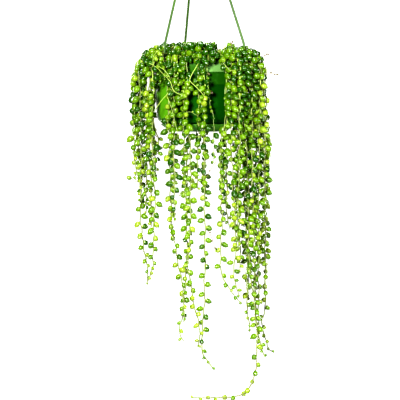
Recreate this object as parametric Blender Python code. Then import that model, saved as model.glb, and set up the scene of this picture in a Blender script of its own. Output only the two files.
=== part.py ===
"""A string of pearls in a green hanging pot: hook, three rods, pot, clipped saucer, soil, crown and strings.

Sizes are metres, +Z is up and the front is -Y. The origin is the point where the hook hangs, and the
pot's axis is Z. Heights on the pot and the plant are given from the rim, so a drop is below the rim.
"""

import math
import random

import bmesh
import bpy
from mathutils import Matrix, Vector
from mathutils.geometry import delaunay_2d_cdt

# Hanger
HOOK_INNER_R = 0.011
HOOK_WIRE_R = 0.0019
HOOK_FROM = -25  # degrees round the bend, from +X
HOOK_SWEEP = 235
HUB_R = 0.0085
HUB_NECK_R = 0.0045
HUB_TOP = -0.034
HUB_H = 0.020
MEETING_Z = -0.040  # where the lines of the three rods meet
ROD_R = 0.0015
ROD_AZIMUTHS = (316, 76, 196)  # degrees from the front, turning towards +X
ROD_SEAT_R = 0.068
ROD_START = 0.009  # along the rod from the meeting point
SOCKET_CLEAR = 0.0005
SOCKET_END = 0.030
KINK_RISE = 0.022
KNOB_R = 0.0026
KNOB_H = 0.0028

# Pot
RIM_Z = MEETING_Z - 0.230
COLLAR_R = 0.0650
COLLAR_H = 0.0165
COLLAR_T = 0.0026
WALL_R = 0.0622
WALL_T = 0.0018
STEP_DROP = 0.0340
SHOULDER_R = 0.0592
CORNER_R = 0.0125
FLOOR_DROP = 0.0905
FLOOR_TOP_DROP = 0.0870
FLOOR_UNDER_DROP = 0.0890
FOOT_R = 0.0340
FOOT_DROP = 0.0999
FOOT_LIP = 0.0010
FOOT_LIP_DROP = 0.0960
FOOT_LIP_H = 0.0012
EAR_WIDTH = 0.0080
EAR_IN = 0.0045
EAR_OUT = 0.0040
EAR_CORNER = 0.0012
EAR_DROP = 0.0004
EAR_T = 0.0029
SLOT_WIDTH = 0.0036
SLOT_IN = 0.0018
DRAIN_R = 0.0025
DRAIN_CIRCLE_R = 0.018
DRAINS = 4

# Saucer
SAUCER_R = 0.0530
SAUCER_TOP_DROP = 0.0908
SAUCER_BASE_R = 0.0408
SAUCER_DROP = 0.1018
SAUCER_T = 0.0015
CLIPS = 3
CLIP_WIDTH = 0.0070
CLIP_T = 0.0016
CLIP_TOP_DROP = 0.0936
CLIP_HOOK = 0.0010

# Soil and crown
SOIL_DROP = 0.0100
SOIL_CLEAR = 0.0005
ROOTS = 6
ROOT_CIRCLE_R = 0.036
ROOT_R = 0.0015
ROOT_HOLE_R = 0.0023
ROOT_DEPTH = 0.026
CROWN_EDGE_R = 0.0705
CROWN_NECK_R = 0.0592  # inside the pot's collar
CROWN_UNDER = 0.0008  # the overhanging edge's underside, above the rim
# The crown core's upper section, from its middle to its edge, as (radius, height from the rim)
CROWN_TOP = ((0.0, 0.0130), (0.025, 0.0150), (0.045, 0.0145), (0.058, 0.0120), (0.066, 0.0080),
             (CROWN_EDGE_R, 0.0030))
CROWN_TRIES = 260
GOLDEN_ANGLE = 137.508
CROWN_LEAF_LIFT = 0.0012
CROWN_LEAF_APART = 0.0135
CROWN_LATTICE = 0.0058
CROWN_BUMP = 0.0045
CROWN_BUMP_CLEAR = 0.0050
CROWN_EDGE_SIDES = 36
NOTCH_IN = 0.0030
NOTCH_HALF = 0.0024

# Strings
STEM_R = 0.0010
STEM_SIDES = 3
LEAF_R_TOP = 0.0045
LEAF_R = 0.0038
LEAF_R_TIP = 0.0019
LEAF_PITCH = 0.0410
# A leaf's rings and its end, in leaf radii: how far out along the leaf, and how wide
LEAF_RINGS = ((0.55, 0.86), (1.50, 0.90))
LEAF_END = 2.15
LEAF_CENTRE = 1.08
LEAF_CLEAR = 0.0006
EAR_CLEAR = 0.0065
TIP_LENGTH = 0.070
ROUTE_STEP = 0.040
GAP = 0.0003  # between pieces that touch
SEED = 11

SIDES = 24
SOIL_SIDES = 16

# Each string: its azimuth on the crown, how far behind the pot's axis it hangs, and its route as
# (across, drop) points chosen by eye. The first ones run from left to right across the front, the
# last ones round the back.
STRINGS = (
    (277, -0.012, ((-0.089, 0.036), (-0.091, 0.086), (-0.091, 0.129), (-0.088, 0.160), (-0.094, 0.169))),
    (285, -0.022, ((-0.077, 0.040), (-0.079, 0.100), (-0.080, 0.164), (-0.082, 0.214), (-0.079, 0.257),
                   (-0.073, 0.289), (-0.072, 0.317))),
    (293, -0.044, ((-0.083, 0.034), (-0.082, 0.086), (-0.081, 0.143), (-0.082, 0.200))),
    (299, -0.034, ((-0.066, 0.054), (-0.063, 0.089), (-0.057, 0.112), (-0.056, 0.136))),
    (305, -0.048, ((-0.069, 0.046), (-0.070, 0.100), (-0.067, 0.164), (-0.066, 0.207), (-0.067, 0.243))),
    (311, -0.060, ((-0.061, 0.051), (-0.063, 0.114), (-0.059, 0.190), (-0.063, 0.243), (-0.064, 0.289),
                   (-0.073, 0.319))),
    (325, -0.064, ((-0.043, 0.043), (-0.041, 0.114), (-0.039, 0.186), (-0.037, 0.237), (-0.031, 0.272),
                   (-0.020, 0.339), (-0.026, 0.383), (-0.020, 0.400))),
    (334, -0.076, ((-0.034, 0.046), (-0.034, 0.129), (-0.033, 0.186), (-0.034, 0.232))),
    (343, -0.072, ((-0.020, 0.043), (-0.020, 0.129), (-0.017, 0.200), (-0.016, 0.272), (-0.019, 0.329),
                   (-0.020, 0.372))),
    (351, -0.080, ((-0.011, 0.046), (-0.011, 0.129), (-0.011, 0.243), (-0.014, 0.289), (-0.006, 0.343),
                   (0.003, 0.386), (-0.001, 0.408))),
    (359, -0.075, ((0.000, 0.036), (0.001, 0.100), (-0.001, 0.150), (0.000, 0.186))),
    (6, -0.080, ((0.009, 0.046), (0.009, 0.100), (0.009, 0.172), (0.010, 0.257), (0.009, 0.343),
                 (0.006, 0.408), (0.023, 0.440))),
    (14, -0.072, ((0.019, 0.031), (0.021, 0.072), (0.023, 0.114), (0.021, 0.150))),
    (22, -0.072, ((0.031, 0.043), (0.030, 0.114), (0.033, 0.186), (0.034, 0.236), (0.032, 0.289),
                  (0.041, 0.319), (0.063, 0.347))),
    (28, -0.063, ((0.040, 0.043), (0.040, 0.114), (0.041, 0.172), (0.040, 0.207))),
    (34, -0.070, ((0.047, 0.040), (0.047, 0.114), (0.051, 0.200), (0.054, 0.272), (0.050, 0.303),
                  (0.059, 0.335))),
    (40, -0.072, ((0.059, 0.037), (0.059, 0.129), (0.057, 0.200), (0.057, 0.272))),
    (45.5, -0.052, ((0.054, 0.040), (0.056, 0.129), (0.059, 0.229), (0.060, 0.303))),
    (51, -0.054, ((0.067, 0.034), (0.069, 0.129), (0.072, 0.214), (0.073, 0.286), (0.079, 0.336),
                  (0.083, 0.372), (0.084, 0.415), (0.079, 0.453), (0.070, 0.470), (0.053, 0.478),
                  (0.023, 0.480), (-0.011, 0.480))),
    (56, -0.041, ((0.062, 0.034), (0.064, 0.143), (0.069, 0.257), (0.070, 0.343), (0.074, 0.386))),
    (61, -0.048, ((0.077, 0.029), (0.077, 0.143), (0.079, 0.257), (0.083, 0.372), (0.090, 0.408),
                  (0.097, 0.426))),
    (66, -0.036, ((0.088, 0.031), (0.087, 0.143), (0.086, 0.272), (0.087, 0.386))),
    (71.3, -0.026, ((0.073, 0.031), (0.073, 0.143), (0.072, 0.257), (0.072, 0.343))),
    (81, -0.024, ((0.099, 0.031), (0.100, 0.100), (0.099, 0.157), (0.099, 0.200))),
    (87, -0.008, ((0.092, 0.034), (0.093, 0.100), (0.096, 0.200), (0.096, 0.343), (0.092, 0.379),
                  (0.100, 0.410), (0.109, 0.418))),
    (93, 0.004, ((0.082, 0.031), (0.083, 0.143), (0.082, 0.257), (0.082, 0.343))),
    (99, 0.014, ((0.096, 0.037), (0.097, 0.143), (0.096, 0.257), (0.096, 0.329))),
    (109, 0.030, ((0.084, 0.035), (0.084, 0.120), (0.082, 0.215))),
    (124, 0.046, ((0.070, 0.040), (0.071, 0.150), (0.069, 0.290))),
    (137, 0.060, ((0.056, 0.040), (0.057, 0.130), (0.054, 0.240))),
    (154, 0.070, ((0.034, 0.043), (0.034, 0.114), (0.037, 0.190), (0.046, 0.245))),
    (172, 0.076, ((0.010, 0.040), (0.009, 0.120), (0.010, 0.205))),
    (189, 0.080, ((-0.014, 0.043), (-0.015, 0.130), (-0.017, 0.235))),
    (206, 0.074, ((-0.036, 0.040), (-0.037, 0.110), (-0.034, 0.190))),
    (226, 0.058, ((-0.062, 0.040), (-0.063, 0.100), (-0.061, 0.165))),
    (242, 0.040, ((-0.074, 0.036), (-0.073, 0.120), (-0.075, 0.225))),
    (258, 0.020, ((-0.085, 0.038), (-0.086, 0.100), (-0.083, 0.180))),
)


def around(azimuth, radius, z=0.0):
    """The point at this azimuth (degrees from the front, turning towards +X), radius and height."""
    angle = math.radians(azimuth)
    return Vector((radius * math.sin(angle), -radius * math.cos(angle), z))


def arc(centre_r, centre_z, radius, first, last, steps):
    """Profile points along an arc, from one angle to another in degrees."""
    angles = [math.radians(first + (last - first) * i / steps) for i in range(steps + 1)]
    return [(centre_r + radius * math.cos(a), centre_z + radius * math.sin(a)) for a in angles]


def material(name, colour, roughness):
    made = bpy.data.materials.new(name)
    made.use_nodes = True
    shader = made.node_tree.nodes["Principled BSDF"]
    shader.inputs["Base Color"].default_value = (*colour, 1)
    shader.inputs["Roughness"].default_value = roughness
    shader.inputs["Metallic"].default_value = 0
    made.diffuse_color = (*colour, 1)
    return made


def new_object(name, bm, finish=None, collection=None):
    """Makes an object of this bmesh, its faces outwards and shaded smooth."""
    bmesh.ops.recalc_face_normals(bm, faces=bm.faces)
    mesh = bpy.data.meshes.new(name)
    bm.to_mesh(mesh)
    bm.free()
    mesh.shade_smooth()
    mesh.set_sharp_from_angle(angle=math.radians(35))
    if finish:
        mesh.materials.append(finish)
    obj = bpy.data.objects.new(name, mesh)
    (collection or bpy.context.scene.collection).objects.link(obj)
    return obj


def turned(profile, sides=SIDES):
    """A bmesh turned about Z from (radius, height) points, which go round the section."""
    bm = bmesh.new()
    points = [bm.verts.new((radius, 0, z)) for radius, z in profile]
    edges = [bm.edges.new(pair) for pair in zip(points, points[1:] + points[:1])]
    bmesh.ops.spin(bm, geom=points + edges, cent=(0, 0, 0), axis=(0, 0, 1),
                   angle=2 * math.pi, steps=sides, use_merge=True)
    bmesh.ops.remove_doubles(bm, verts=bm.verts, dist=1e-6)
    bmesh.ops.dissolve_degenerate(bm, edges=bm.edges, dist=1e-6)
    return bm


def tube(points, radii, sides):
    """A bmesh tube along the points, its section carried along without twist."""
    bm = bmesh.new()
    along = (points[1] - points[0]).normalized()
    out = along.orthogonal().normalized()
    rings = []
    for i, point in enumerate(points):
        before = points[max(i - 1, 0)]
        after = points[min(i + 1, len(points) - 1)]
        if (after - before).length > 1e-7:
            turn = along.rotation_difference((after - before).normalized())
            along = (after - before).normalized()
            out = (turn @ out).normalized()
        spoke = Matrix.Rotation(2 * math.pi / sides, 3, along)
        arm, ring = out * radii[i], []
        for _ in range(sides):
            ring.append(bm.verts.new(point + arm))
            arm = spoke @ arm
        rings.append(ring)
    for low, high in zip(rings, rings[1:]):
        for k in range(sides):
            n = (k + 1) % sides
            bm.faces.new((low[k], low[n], high[n], high[k]))
    bm.faces.new(rings[0])
    bm.faces.new(rings[-1])
    return bm


def prism(outline, thickness, placed):
    """A bmesh of a flat outline extruded by the thickness, then placed by a matrix."""
    bm = bmesh.new()
    face = bm.faces.new([bm.verts.new((x, y, 0)) for x, y in outline])
    raised = bmesh.ops.extrude_face_region(bm, geom=[face])
    lifted = [v for v in raised["geom"] if isinstance(v, bmesh.types.BMVert)]
    bmesh.ops.translate(bm, vec=(0, 0, thickness), verts=lifted)
    bmesh.ops.transform(bm, matrix=placed, verts=bm.verts)
    return bm


def joined(obj, bodies, operation="UNION"):
    """Joins the bodies to the object, or cuts them from it, with one Boolean, and applies it."""
    helpers = bpy.data.collections.new("helpers")
    bpy.context.scene.collection.children.link(helpers)
    made = [new_object("helper", bm, collection=helpers) for bm in bodies]
    boolean = obj.modifiers.new("join", "BOOLEAN")
    boolean.operation = operation
    boolean.operand_type = "COLLECTION"
    boolean.collection = helpers
    graph = bpy.context.evaluated_depsgraph_get()
    result = bpy.data.meshes.new_from_object(obj.evaluated_get(graph))
    obj.modifiers.remove(boolean)
    result.name = obj.name
    obj.data = result
    for helper in made:
        bpy.data.objects.remove(helper)
    bpy.data.collections.remove(helpers)


def frame_at(azimuth, radius, z):
    """A matrix whose X points outwards at this azimuth, with Z up."""
    place = around(azimuth, radius, z)
    out = around(azimuth, 1)
    return Matrix.Translation(place) @ Matrix.Rotation(math.atan2(out.y, out.x), 4, "Z")


def rod_direction(azimuth):
    kink = around(azimuth, ROD_SEAT_R, RIM_Z + KINK_RISE)
    return (kink - Vector((0, 0, MEETING_Z))).normalized()


def rod_route(azimuth):
    """The rod's points and radii: out of its socket, round the kink and down through the ear."""
    start = Vector((0, 0, MEETING_Z)) + rod_direction(azimuth) * ROD_START
    kink = around(azimuth, ROD_SEAT_R, RIM_Z + KINK_RISE)
    seat = around(azimuth, ROD_SEAT_R, RIM_Z)
    down = Vector((0, 0, -1))
    knob_top = EAR_DROP + EAR_T + GAP
    points = [
        start,
        kink - rod_direction(azimuth) * 0.0050,
        kink + down * 0.0010,
        kink + down * 0.0060,
        seat + down * knob_top,
        seat + down * (knob_top + 0.0002),
        seat + down * (knob_top + KNOB_H),
        seat + down * (knob_top + 1.6 * KNOB_H),
    ]
    return points, [ROD_R] * 5 + [KNOB_R, KNOB_R, KNOB_R / 2]


def hook_route():
    """Up out of the hub, out to one side, and round over the bearing point to the hook's tip."""
    wire = HOOK_INNER_R + HOOK_WIRE_R
    bend = [Vector((x, 0, z)) for x, z in arc(0, -HOOK_INNER_R, wire, HOOK_FROM, HOOK_FROM + HOOK_SWEEP, 12)]
    shank = [Vector((0, 0, HUB_TOP - 0.003)), Vector((0, 0, HUB_TOP + 0.004)), Vector((0.005, 0, -0.0235))]
    return shank + bend


def make_hook(finish):
    bottom = HUB_TOP - HUB_H
    profile = [(0, HUB_TOP), (HUB_NECK_R, HUB_TOP), (HUB_R, HUB_TOP - 0.003), (HUB_R, bottom + 0.004),
               (HUB_R - 0.001, bottom), (0, bottom)]
    hook = new_object("hanger_hook", turned(profile, 12), finish)
    route = hook_route()
    joined(hook, [tube(route, [HOOK_WIRE_R] * len(route), 8)])
    sockets = []
    for azimuth in ROD_AZIMUTHS:
        direction = rod_direction(azimuth)
        meeting = Vector((0, 0, MEETING_Z))
        ends = [meeting + direction * (ROD_START - GAP), meeting + direction * SOCKET_END]
        sockets.append(tube(ends, [ROD_R + SOCKET_CLEAR] * 2, 12))
    joined(hook, sockets, "DIFFERENCE")
    return hook


def make_rods(finish):
    for name, azimuth in zip(("rod_front_left", "rod_right", "rod_back"), ROD_AZIMUTHS):
        points, radii = rod_route(azimuth)
        new_object(name, tube(points, radii, 6), finish)


def pot_outside():
    """The pot's outer section from the rim down to its foot, as (radius, height from the rim)."""
    collar = [(COLLAR_R - 0.0008, 0), (COLLAR_R, -0.0008), (COLLAR_R - 0.0005, 0.0008 - COLLAR_H),
              (COLLAR_R - 0.0012, -COLLAR_H)]
    wall = [(WALL_R, -COLLAR_H - 0.0004), (WALL_R - 0.0005, -STEP_DROP),
            (WALL_R - 0.0011, -STEP_DROP - 0.0005)]
    corner = arc(SHOULDER_R - CORNER_R, -FLOOR_DROP + CORNER_R, CORNER_R, 0, -78, 4)
    lip_r, lip_bottom = FOOT_R + FOOT_LIP, FOOT_LIP_DROP + FOOT_LIP_H
    foot = [(FOOT_R + 0.0005, -FLOOR_DROP), (FOOT_R, 0.0005 - FOOT_LIP_DROP), (lip_r, -FOOT_LIP_DROP),
            (lip_r, -lip_bottom), (FOOT_R, -lip_bottom - 0.0008), (FOOT_R, -FOOT_DROP)]
    return collar + wall + corner + foot


def make_pot(finish):
    inner_foot = [(FOOT_R - WALL_T, -FOOT_DROP), (FOOT_R - WALL_T, -FLOOR_UNDER_DROP), (0, -FLOOR_UNDER_DROP),
                  (0, -FLOOR_TOP_DROP)]
    inner_r = CORNER_R - WALL_T
    inside = arc(SHOULDER_R - CORNER_R, -FLOOR_TOP_DROP + inner_r, inner_r, -90, 0, 3)
    inner_wall = [(WALL_R - WALL_T, -COLLAR_H - 0.0004), (COLLAR_R - COLLAR_T, 0.0016 - COLLAR_H),
                  (COLLAR_R - COLLAR_T, 0)]
    profile = pot_outside() + inner_foot + inside + inner_wall
    pot = new_object("pot", turned([(r, z + RIM_Z) for r, z in profile]), finish)
    half = EAR_WIDTH / 2
    tip = half - EAR_CORNER
    ear = ((-EAR_IN, -half - 0.0006), (EAR_OUT - EAR_CORNER, -half), (EAR_OUT, -tip), (EAR_OUT, tip),
           (EAR_OUT - EAR_CORNER, half), (-EAR_IN, half + 0.0006))
    slot = ((-SLOT_IN, -SLOT_WIDTH / 2), (2 * EAR_OUT, -SLOT_WIDTH / 2), (2 * EAR_OUT, SLOT_WIDTH / 2),
            (-SLOT_IN, SLOT_WIDTH / 2))
    at = [frame_at(azimuth, ROD_SEAT_R, RIM_Z - EAR_DROP - EAR_T) for azimuth in ROD_AZIMUTHS]
    joined(pot, [prism(ear, EAR_T, place) for place in at])
    low = Matrix.Translation((0, 0, -0.002))
    cuts = [prism(slot, EAR_T + 0.004, low @ place) for place in at]
    for k in range(DRAINS):
        low_end = around(45 + 360 * k / DRAINS, DRAIN_CIRCLE_R, RIM_Z - FLOOR_UNDER_DROP - 0.002)
        high_end = around(45 + 360 * k / DRAINS, DRAIN_CIRCLE_R, RIM_Z - FLOOR_TOP_DROP + 0.004)
        cuts.append(tube([low_end, high_end], [DRAIN_R] * 2, 8))
    joined(pot, cuts, "DIFFERENCE")
    return pot


def saucer_profile():
    return [(SAUCER_R - 0.0004, -SAUCER_TOP_DROP), (SAUCER_R, -SAUCER_TOP_DROP - 0.0006),
            (SAUCER_BASE_R + 0.0012, -SAUCER_DROP + 0.0012), (SAUCER_BASE_R, -SAUCER_DROP), (0, -SAUCER_DROP),
            (0, -SAUCER_DROP + SAUCER_T), (SAUCER_BASE_R - 0.0008, -SAUCER_DROP + SAUCER_T),
            (SAUCER_R - 0.0022, -SAUCER_TOP_DROP)]


def make_saucer(finish):
    """The saucer's three clips stand on its floor and snap over the lip of the pot's foot."""
    saucer = new_object("saucer", turned([(r, z + RIM_Z) for r, z in saucer_profile()]), finish)
    inner = FOOT_R + FOOT_LIP + GAP
    low, top, over_lip = SAUCER_T / 2 - SAUCER_DROP, -CLIP_TOP_DROP, GAP - FOOT_LIP_DROP
    clip = ((inner, low), (inner + CLIP_T, low), (inner + CLIP_T, top), (inner - 0.0002, top),
            (inner - CLIP_HOOK, top - CLIP_HOOK), (inner - CLIP_HOOK, over_lip), (inner, over_lip))
    upright = Matrix.Rotation(math.radians(90), 4, "X")
    clips = []
    for k in range(CLIPS):
        place = frame_at(360 * k / CLIPS, 0, RIM_Z)
        half = Matrix.Translation((0, CLIP_WIDTH / 2, 0))
        clips.append(prism(clip, CLIP_WIDTH, place @ half @ upright))
    joined(saucer, clips)
    return saucer


def root_places():
    return [around(20 + 360 * k / ROOTS, ROOT_CIRCLE_R, 0) for k in range(ROOTS)]


def make_soil(finish):
    floor = SOIL_CLEAR - FLOOR_TOP_DROP
    inner_r = CORNER_R - WALL_T - SOIL_CLEAR
    low = arc(SHOULDER_R - CORNER_R, floor + inner_r, inner_r, -90, 0, 3)
    top_r = WALL_R - WALL_T - SOIL_CLEAR
    profile = [(0, floor)] + low + [(top_r, -COLLAR_H), (top_r - 0.0005, -SOIL_DROP), (0, -SOIL_DROP)]
    soil = new_object("soil", turned([(r, z + RIM_Z) for r, z in profile], SOIL_SIDES), finish)
    holes = []
    for place in root_places():
        top = place + Vector((0, 0, RIM_Z + 0.002))
        bottom = place + Vector((0, 0, RIM_Z - SOIL_DROP - ROOT_DEPTH - 0.002))
        holes.append(tube([bottom, top], [ROOT_HOLE_R] * 2, 6))
    joined(soil, holes, "DIFFERENCE")
    return soil


def crown_profile():
    """The crown core's whole section, from its middle over the edge, into the pot and back."""
    under = [(CROWN_EDGE_R - CROWN_UNDER, CROWN_UNDER), (CROWN_NECK_R + CROWN_UNDER, CROWN_UNDER),
             (CROWN_NECK_R, GAP - SOIL_DROP), (0, GAP - SOIL_DROP)]
    return list(CROWN_TOP) + under


def on_crown(share, lift):
    """The point a share of the way along the crown's upper section, lifted off it, and its normal."""
    top = [Vector((r, z)) for r, z in CROWN_TOP]
    lengths = [(b - a).length for a, b in zip(top, top[1:])]
    left = share * sum(lengths)
    for a, b, length in zip(top, top[1:], lengths):
        if left <= length or b is top[-1]:
            along = (b - a).normalized()
            normal = Vector((-along.y, along.x))
            return a + along * left + normal * lift, normal
        left -= length


def string_route(azimuth, behind, points):
    """A string's own points: over the crown, round its edge, and down where it hangs."""
    hang = Vector((points[0][0], behind))
    reach = hang.length - CROWN_EDGE_R
    hang_azimuth = math.degrees(math.atan2(hang.x, -hang.y))
    route = []
    for share, lift in ((0.80, STEM_R + 0.0002), (0.93, STEM_R + 0.0005)):
        place, _ = on_crown(share, lift)
        route.append(around(azimuth, place.x, RIM_Z + place.y + 0.15 * max(reach - 0.004, 0) * (share > 0.9)))
    turn = (hang_azimuth - azimuth + 180) % 360 - 180
    shoulder_r = CROWN_EDGE_R + max(0.0024, 0.5 * reach)
    shoulder_z = 0.0045 + 0.30 * max(reach - 0.004, 0)
    route.append(around(azimuth + 0.4 * turn, shoulder_r, RIM_Z + shoulder_z))
    route.append(around(azimuth + 0.9 * turn, hang.length, RIM_Z - 0.010))
    for across, drop in points:
        route.append(Vector((across, behind, RIM_Z - drop)))
    return route


def smooth_curve(points, step):
    """Points about a step apart on a smooth curve through the given points (Catmull-Rom)."""
    padded = [2 * points[0] - points[1]] + points + [2 * points[-1] - points[-2]]
    curve = []
    for p0, p1, p2, p3 in zip(padded, padded[1:], padded[2:], padded[3:]):
        count = max(1, round((p2 - p1).length / step))
        for k in range(count):
            t = k / count
            curve.append(0.5 * (2 * p1 + (p2 - p0) * t + (2 * p0 - 5 * p1 + 4 * p2 - p3) * t * t
                                + (3 * p1 - 3 * p2 + p3 - p0) * t ** 3))
    return curve + [points[-1]]


def leaf(base, out, along, radius):
    """One pearl leaf: a four-sided bead on the stem, drawn to a small point at its far end."""
    side = out.cross(along).normalized()
    long = out.cross(side).normalized()
    bm = bmesh.new()
    foot = bm.verts.new(base)
    rings = []
    for height, width in LEAF_RINGS:
        centre = base + out * (height * radius)
        rings.append([bm.verts.new(centre + (side * math.cos(a) + long * math.sin(a)) * (width * radius))
                      for a in (0, math.pi / 2, math.pi, 3 * math.pi / 2)])
    tip = bm.verts.new(base + out * (LEAF_END * radius))
    for k in range(4):
        n = (k + 1) % 4
        bm.faces.new((foot, rings[0][k], rings[0][n]))
        bm.faces.new((rings[0][k], rings[1][k], rings[1][n], rings[0][n]))
        bm.faces.new((tip, rings[1][n], rings[1][k]))
    return bm


def section_gap(point, profile):
    """How far the point lies outside a turned section, measured in the plane through the axis."""
    here = Vector((math.hypot(point.x, point.y), point.z - RIM_Z))
    nearest, inside = 1.0, False
    for a, b in zip(profile, profile[1:] + profile[:1]):
        a, b = Vector(a), Vector(b)
        edge = b - a
        t = max(0.0, min(1.0, (here - a).dot(edge) / max(edge.length_squared, 1e-12)))
        nearest = min(nearest, (here - a - edge * t).length)
        if (a.y > here.y) != (b.y > here.y) and here.x < a.x + (here.y - a.y) * edge.x / edge.y:
            inside = not inside
    return -nearest if inside else nearest


def segment_gap(point, a, b):
    edge = b - a
    t = max(0.0, min(1.0, (point - a).dot(edge) / edge.length_squared))
    return (point - a - edge * t).length


class Room:
    """The space that is already taken, so that each leaf is put where it touches nothing else's."""

    def __init__(self, routes):
        self.routes = routes
        self.leaves = []
        self.solids = [[(0, 0)] + pot_outside() + [(0, -FOOT_DROP)], saucer_profile()]
        self.rods = [rod_route(azimuth)[0] for azimuth in ROD_AZIMUTHS]
        self.ears = [around(azimuth, ROD_SEAT_R, RIM_Z - 0.0035) for azimuth in ROD_AZIMUTHS]

    def free(self, centre, radius, own, on_core):
        if any((centre - c).length < radius + r + LEAF_CLEAR for c, r in self.leaves):
            return False
        if any(section_gap(centre, solid) < radius + GAP for solid in self.solids):
            return False
        if not on_core and section_gap(centre, crown_profile()) < radius + GAP:
            return False
        if any((centre - ear).length < radius + EAR_CLEAR for ear in self.ears):
            return False
        for rod in self.rods:
            near = radius + ROD_R + LEAF_CLEAR
            if any(segment_gap(centre, a, b) < near for a, b in zip(rod, rod[1:])):
                return False
        for name, route in self.routes.items():
            if name == own or min(abs(centre.x - p.x) for p in route) > 0.030:
                continue
            near = radius + STEM_R + LEAF_CLEAR
            if any(segment_gap(centre, a, b) < near for a, b in zip(route, route[1:])):
                return False
        return True

    def take(self, centre, radius):
        self.leaves.append((centre, radius))


def leaf_radius(from_top, to_tip, draw):
    size = LEAF_R_TOP + (LEAF_R - LEAF_R_TOP) * min(1, from_top / 0.10)
    if to_tip < TIP_LENGTH:
        size = LEAF_R_TIP + (size - LEAF_R_TIP) * to_tip / TIP_LENGTH
    return size * draw.uniform(0.94, 1.06)


def string_leaves(name, route, room, draw):
    """Leaves in turn on the three sides of the stem, each where there is room for it."""
    leaves = []
    distance = [0.0]
    for a, b in zip(route, route[1:]):
        distance.append(distance[-1] + (b - a).length)
    total = distance[-1]
    turn = draw.randrange(3)
    place = 0.006
    while place < total - 0.002:
        i = max(k for k in range(len(route) - 1) if distance[k] <= place)
        along = (route[i + 1] - route[i]).normalized()
        base = route[i] + along * (place - distance[i])
        radius = leaf_radius(place, total - place, draw)
        start = along.orthogonal().normalized()
        for attempt in range(6):
            out = Matrix.Rotation(math.radians(60 + 120 * turn + 60 * attempt), 3, along) @ start
            centre = base + out * (LEAF_CENTRE * radius)
            if room.free(centre, radius, name, False):
                room.take(centre, radius)
                leaves.append(leaf(base, out, along, radius))
                spread = min(1, 0.7 + 0.3 * place / 0.10) * (0.4 + 0.6 * radius / LEAF_R)
                place += LEAF_PITCH * draw.uniform(0.85, 1.15) * spread
                break
        else:
            place += 0.004
        turn = (turn + 1) % 3
    return leaves


def make_strings(finish, room):
    for name, route in room.routes.items():
        draw = random.Random(name + str(SEED))
        stem = new_object(name, tube(route, [STEM_R] * (len(route) - 1) + [STEM_R * 0.5], STEM_SIDES), finish)
        joined(stem, string_leaves(name, route, room, draw))


def crown_height(radius):
    """How high the crown core's upper section is at this radius, from the rim."""
    for (r0, z0), (r1, z1) in zip(CROWN_TOP, CROWN_TOP[1:]):
        if radius <= r1:
            return z0 + (z1 - z0) * (radius - r0) / (r1 - r0)
    return CROWN_TOP[-1][1]


def crown_core(room, feet):
    """The core: its top is a triangle lattice with every third point raised, where there is room."""
    points, heights = [], []
    rows = int(CROWN_EDGE_R / (CROWN_LATTICE * 0.866)) + 1
    for row in range(-rows, rows + 1):
        for column in range(-rows - 1, rows + 2):
            flat = Vector(((column + 0.5 * (row % 2)) * CROWN_LATTICE, row * CROWN_LATTICE * 0.866))
            if flat.length > CROWN_EDGE_R - 0.6 * CROWN_LATTICE:
                continue
            raised = (column - row // 2 - row) % 3 == 0
            z = crown_height(flat.length)
            peak = Vector((flat.x, flat.y, RIM_Z + z + CROWN_BUMP))
            apart = all((flat - foot.to_2d()).length > 0.8 * CROWN_LATTICE for foot in feet)
            if raised and apart and room.free(peak, CROWN_BUMP_CLEAR, "crown", True):
                z += CROWN_BUMP
            points.append(flat)
            heights.append(z)
    edge = [around(360 * k / CROWN_EDGE_SIDES, CROWN_EDGE_R).to_2d() for k in range(CROWN_EDGE_SIDES)]
    rim = len(edge)
    faces = delaunay_2d_cdt(edge + points, [], [list(range(rim))], 1, 1e-6)[2]
    bm = bmesh.new()
    top = [bm.verts.new((p.x, p.y, RIM_Z + z)) for p, z in
           zip(edge + points, [CROWN_TOP[-1][1]] * rim + heights)]
    for face in faces:
        bm.faces.new([top[k] for k in face])
    last = top[:rim]
    for radius, z in crown_profile()[len(CROWN_TOP):-1]:
        share = radius / CROWN_EDGE_R
        ring = [bm.verts.new((p.x * share, p.y * share, RIM_Z + z)) for p in edge]
        for k in range(rim):
            n = (k + 1) % rim
            bm.faces.new((last[k], last[n], ring[n], ring[k]))
        last = ring
    bm.faces.new(last)
    return bm


def make_crown(finish, room):
    """The crown's core, its stems down into the soil, and the leaves that stand out of it."""
    draw = random.Random(SEED)
    leaves = []
    for k in range(CROWN_TRIES):
        share = 0.08 + 0.90 * math.sqrt((k + 0.5) / CROWN_TRIES)
        azimuth = GOLDEN_ANGLE * k
        radius = LEAF_R_TOP * draw.uniform(0.92, 1.08)
        foot, normal = on_crown(share, CROWN_LEAF_LIFT)
        base = around(azimuth, foot.x, RIM_Z + foot.y)
        out = around(azimuth, normal.x, normal.y)
        centre = base + out * (LEAF_CENTRE * radius)
        apart = all((base - other).length > CROWN_LEAF_APART for other, *_ in leaves)
        if apart and room.free(centre, radius, "crown", True):
            leaves.append((base - out * 0.35 * radius, out, azimuth, radius))
    crown = new_object("crown", crown_core(room, [base for base, *_ in leaves]), finish)
    bodies = [leaf(base, out, around(azimuth + 90, 1), radius) for base, out, azimuth, radius in leaves]
    for place in root_places():
        top = place + Vector((0, 0, RIM_Z))
        bottom = place + Vector((0, 0, RIM_Z - SOIL_DROP - ROOT_DEPTH))
        bodies.append(tube([bottom, top], [ROOT_R] * 2, 5))
    joined(crown, bodies)
    notches = []
    for azimuth in ROD_AZIMUTHS:
        box = ((-NOTCH_IN, -NOTCH_HALF), (0.0200, -NOTCH_HALF), (0.0200, NOTCH_HALF), (-NOTCH_IN, NOTCH_HALF))
        notches.append(prism(box, 0.030, frame_at(azimuth, ROD_SEAT_R, RIM_Z - 0.002)))
    joined(crown, notches, "DIFFERENCE")
    return crown


for old in list(bpy.data.objects):
    bpy.data.objects.remove(old)

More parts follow.
